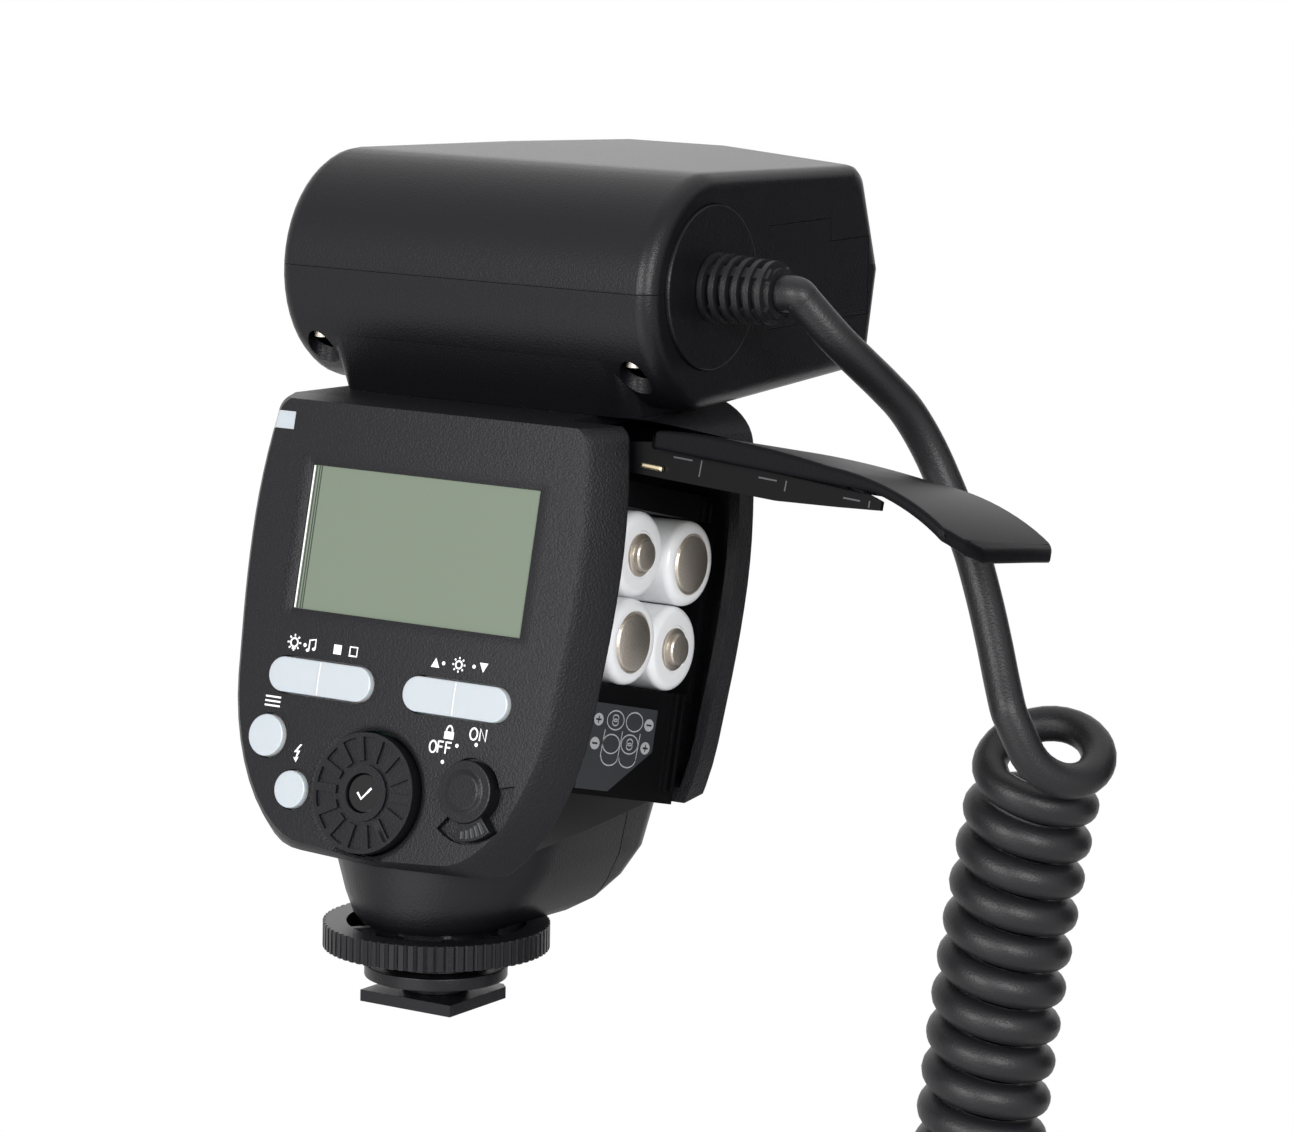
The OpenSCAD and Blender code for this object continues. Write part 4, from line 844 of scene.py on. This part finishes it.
CELLS = {
    "aa_cell_rear_top": (1, -1, True), "aa_cell_front_top": (1, 1, False),
    "aa_cell_rear_low": (-1, -1, False), "aa_cell_front_low": (-1, 1, True),
}
for name, (row, column, nub_out) in CELLS.items():
    make_cell(name, BAY_D + column * PITCH / 2, BAY_V + row * PITCH / 2, nub_out)
print("cells:", len(CELLS), "wrappers and as many steel ends")

# %% [markdown]
# ## The inner side of the door
#
# The door's rear wall has three clip slots, with painted highlights on two of their edges, and a bright bit
# of metal shows at its start, beside the hinge. They could be drawn on the open door, but on the closed one
# the frame is straight and the numbers are plain. So they are drawn there and then turned open about the
# hinge line.

# %% From the closed door to the open one
HINGE_U, HINGE_V, HINGE_D = 30.2, 61.0, 24.7
HINGE_TILT, DOOR_OPEN = math.radians(2.2), math.radians(86)
WALL_D = 9.0
TILT = Matrix.Rotation(HINGE_TILT, 3, "X")
DOOR_TURN = np.array(TILT @ Matrix.Rotation(-DOOR_OPEN, 3, "Y") @ TILT.inverted())


def door_points(u, v, d):
    """Points of the closed door, swung open: tilt about X undone, turn about the hinge, tilt again."""
    u, v, d = np.broadcast_arrays(np.asarray(u, float), v, d)
    p = np.stack([u - HINGE_U, d - HINGE_D, v - HINGE_V], axis=-1)
    x, y, z = (p @ DOOR_TURN.T).T
    return panel_points(x + HINGE_U, z + HINGE_V, y + HINGE_D)


def on_wall(lift):
    """A placer for flat points (u, v) on the wall's rear side."""
    return lambda p: door_points(p[:, 0], p[:, 1], WALL_D - lift)


print("hinge line, in metres:", door_points(HINGE_U, HINGE_V, HINGE_D).round(4).tolist())

# %% Slots, painted highlights on their edges, and metal on the wall
SLOTS = [(48.6, 42.2, 30.1, 32.8), (31.6, 25.4, 30.5, 32.2), (15.0, 9.2, 30.5, 31.6)]
fields = [[[u0, v0], [u1, v0], [u1, v1], [u0, v1]] for v0, v1, u0, u1 in SLOTS]
# The pale lines along two edges of each slot are painted highlights.
RIM_INSET, RIM_TOP, RIM_FOOT = 0.3, 0.8, 1.8
rim_highlights = [[[u1 - RIM_INSET, v0 - RIM_TOP], [u1 - RIM_INSET, v1 + RIM_FOOT]] for v0, v1, u0, u1 in SLOTS]
rim_highlights += [[[u0, v1], [u1, v1]] for v0, v1, u0, u1 in SLOTS]
print_marks("door_slots", [], fields, on_wall(HAIR), "door", BAY_DARK)
print_marks("door_slot_rim_highlights", rim_highlights, [], on_wall(2 * HAIR), "door", PAINTED_HIGHLIGHT_GREY, 0.26)
METAL_U, METAL_LIFT, METAL_R = 30.2, 0.55, 0.45
bright = door_points(METAL_U, np.linspace(53.3, 49.2, 12), WALL_D - METAL_LIFT)
metal = tube("hinge_metal", bright, METAL_R * MM, 16)
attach(metal, "door")
paint(metal, MATS["contact_metal"])
print("door slots:", len(SLOTS))

# %% [markdown]
# ## Polarity diagram
#
# The plate under the bay shows how the cells lie: four cells seen end on, in grey line, with a plus or a
# minus beside each. An image would blur close up, so it is printed in ribbons like the panel, on the
# plate's right side.

# %% Lines of the diagram
PLATE_U, STROKE_LIFT = 31.42, 0.03
PLUS, MINUS = ((15.2, 17.7), (30.7, 13.9)), ((15.0, 13.7), (30.9, 17.8))


def polarity_lines():
    """Ellipses for the cells' ends, two small ones on a nub, and the cells' sides below."""
    lines = []
    for d, v, nub in ((20.4, 17.9, True), (26.3, 18.0, False), (20.0, 13.9, False), (25.7, 14.2, True)):
        lines.append(loop(d, v, 2.6, 1.6))
        if nub:
            lines += [loop(d, v + 0.35, 0.9, 0.55, count=15), loop(d, v - 0.35, 0.9, 0.55, count=15)]
    lines += [[[d, 16.2], [d - 0.4, 11.6]] for d in (17.6, 23.0, 28.6)]
    return lines + [loop(d, 11.8, 2.6, 1.5, 180, 360, 13) for d in (20.0, 25.6)]


def polarity_signs():
    """The plus and minus strokes, and the filled ellipses that they lie on."""
    strokes = [[[d - 0.8, v], [d + 0.8, v]] for d, v in PLUS + MINUS]
    strokes += [[[d, v - 0.6], [d, v + 0.6]] for d, v in PLUS]
    return strokes, [disc(d, v, 1.45, 1.05, 21) for d, v in PLUS + MINUS]


def on_plate(u):
    """A placer for flat points (d, v) on the plate."""
    return lambda p: panel_points(u, p[:, 1], p[:, 0])


print("signs on the plate:", len(PLUS + MINUS))

# %% Print the diagram
diagram = polarity_lines()
strokes, ellipses = polarity_signs()
plate = on_plate(PLATE_U)
above = on_plate(PLATE_U + STROKE_LIFT)
print_marks("polarity_print", diagram, [], plate, "controller", PRINT_GREY, 0.22)
print_marks("polarity_fields", [], ellipses, plate, "controller", PRINT_GREY)
print_marks("polarity_strokes", strokes, [], above, "controller", DARK_LINE_AND_SHADE, 0.3)
print("polarity diagram:", len(diagram), "lines")

# %% [markdown]
# ## Stage
#
# A pale floor lies under the ring head, out of the camera's view. The world is white where the camera, a
# gloss or glass looks at it, and dimmer as a light, so that large soft lamps shape the black plastic. A
# black card beside the object keeps the white off its right side, as a photographer's flag does.

# %% Floor and flag
FLOOR_HALF, FLOOR_DROP = 0.45, 0.002
FLOOR_MIDDLE = (0.04, 0.02)


def make_floor():
    """A square a little under the lowest point of the CAD box."""
    low = float(cad_box[0][2]) - FLOOR_DROP
    corners = np.array([[-1, -1], [1, -1], [1, 1], [-1, 1]]) * FLOOR_HALF + FLOOR_MIDDLE
    floor = make_mesh("floor", np.column_stack([corners, np.full(4, low)]), [[0, 1, 2, 3]])
    paint(floor, finish_material("floor_paper", (0.86, 0.86, 0.86), 0.7))


def make_flag(name, middle, half_wide, half_high):
    """An upright black card, square to the level line from the origin, that the camera doesn't see."""
    middle = np.asarray(middle, float)
    along = unit(np.array([-middle[1], middle[0], 0.0])) * half_wide
    up = np.array([0.0, 0.0, half_high])
    corners = np.stack([middle + a * along + b * up for a, b in ((-1, -1), (1, -1), (1, 1), (-1, 1))])
    card = make_mesh(name, corners, [[0, 1, 2, 3]])
    paint(card, finish_material("flag_cloth", (0.004, 0.004, 0.004), 0.9, specular=0.0))
    card.visible_camera = False


make_floor()
make_flag("flag", middle=(0.40, 0.56, 0.1), half_wide=0.28, half_high=0.3)
print("floor and flag on stage")

# %% World


def make_world(light, seen):
    """One white background with two strengths: seen for camera, glass and gloss rays, light for the rest."""
    world = bpy.data.worlds.new("studio")
    bpy.context.scene.world = world
    world.use_nodes = True
    tree = world.node_tree
    back = tree.nodes["Background"]
    back.inputs["Color"].default_value = (1, 1, 1, 1)
    kinds = ("LightPath", "Math", "Math", "Mix")
    path_kind, pick, pale, mix = (tree.nodes.new("ShaderNode" + kind) for kind in kinds)
    pick.operation = pale.operation = "MAXIMUM"
    mix.inputs["A"].default_value = light
    mix.inputs["B"].default_value = seen
    tree.links.new(path_kind.outputs["Is Camera Ray"], pick.inputs[0])
    tree.links.new(path_kind.outputs["Is Transmission Ray"], pick.inputs[1])
    tree.links.new(pick.outputs[0], pale.inputs[0])
    tree.links.new(path_kind.outputs["Is Glossy Ray"], pale.inputs[1])
    tree.links.new(pale.outputs[0], mix.inputs["Factor"])
    tree.links.new(mix.outputs["Result"], back.inputs["Strength"])


make_world(light=0.2, seen=1.0)
bpy.context.scene.view_settings.view_transform = "Standard"
print("world is white to the camera")

# %% Lamps
LAMPS = {
    "key": ((-0.02, -1.2, 0.42), (0.02, 0, 0.08), (0.6, 0.4), 13),
    "fill": ((1.02, -0.71, 0.46), (0.04, 0, 0.07), (0.5, 0.5), 14),
    "low": ((-0.04, -0.5, -0.19), (0.0, 0, 0.08), (0.5, 0.3), 0.9),
    "top": ((0.0, 0.3, 1.2), (0.02, 0.02, 0.1), (0.9, 0.6), 1),
    "back": ((-0.66, 1.05, 0.32), (0.02, 0, 0.13), (1.1, 0.5), 1.0),
}


def make_lamp(name, place, aim, size, power):
    """A soft rectangle of light at a place, turned to its aim."""
    data = bpy.data.lights.new(name, "AREA")
    data.shape = "RECTANGLE"
    data.size, data.size_y = size
    data.energy = power
    lamp = bpy.data.objects.new(name, data)
    lamp.location = place
    lamp.rotation_euler = (Vector(aim) - Vector(place)).to_track_quat("-Z", "Y").to_euler()
    lamp.visible_camera = False
    bpy.context.collection.objects.link(lamp)


for name, facts in LAMPS.items():
    make_lamp(name, *facts)
print("lamps:", len(LAMPS))
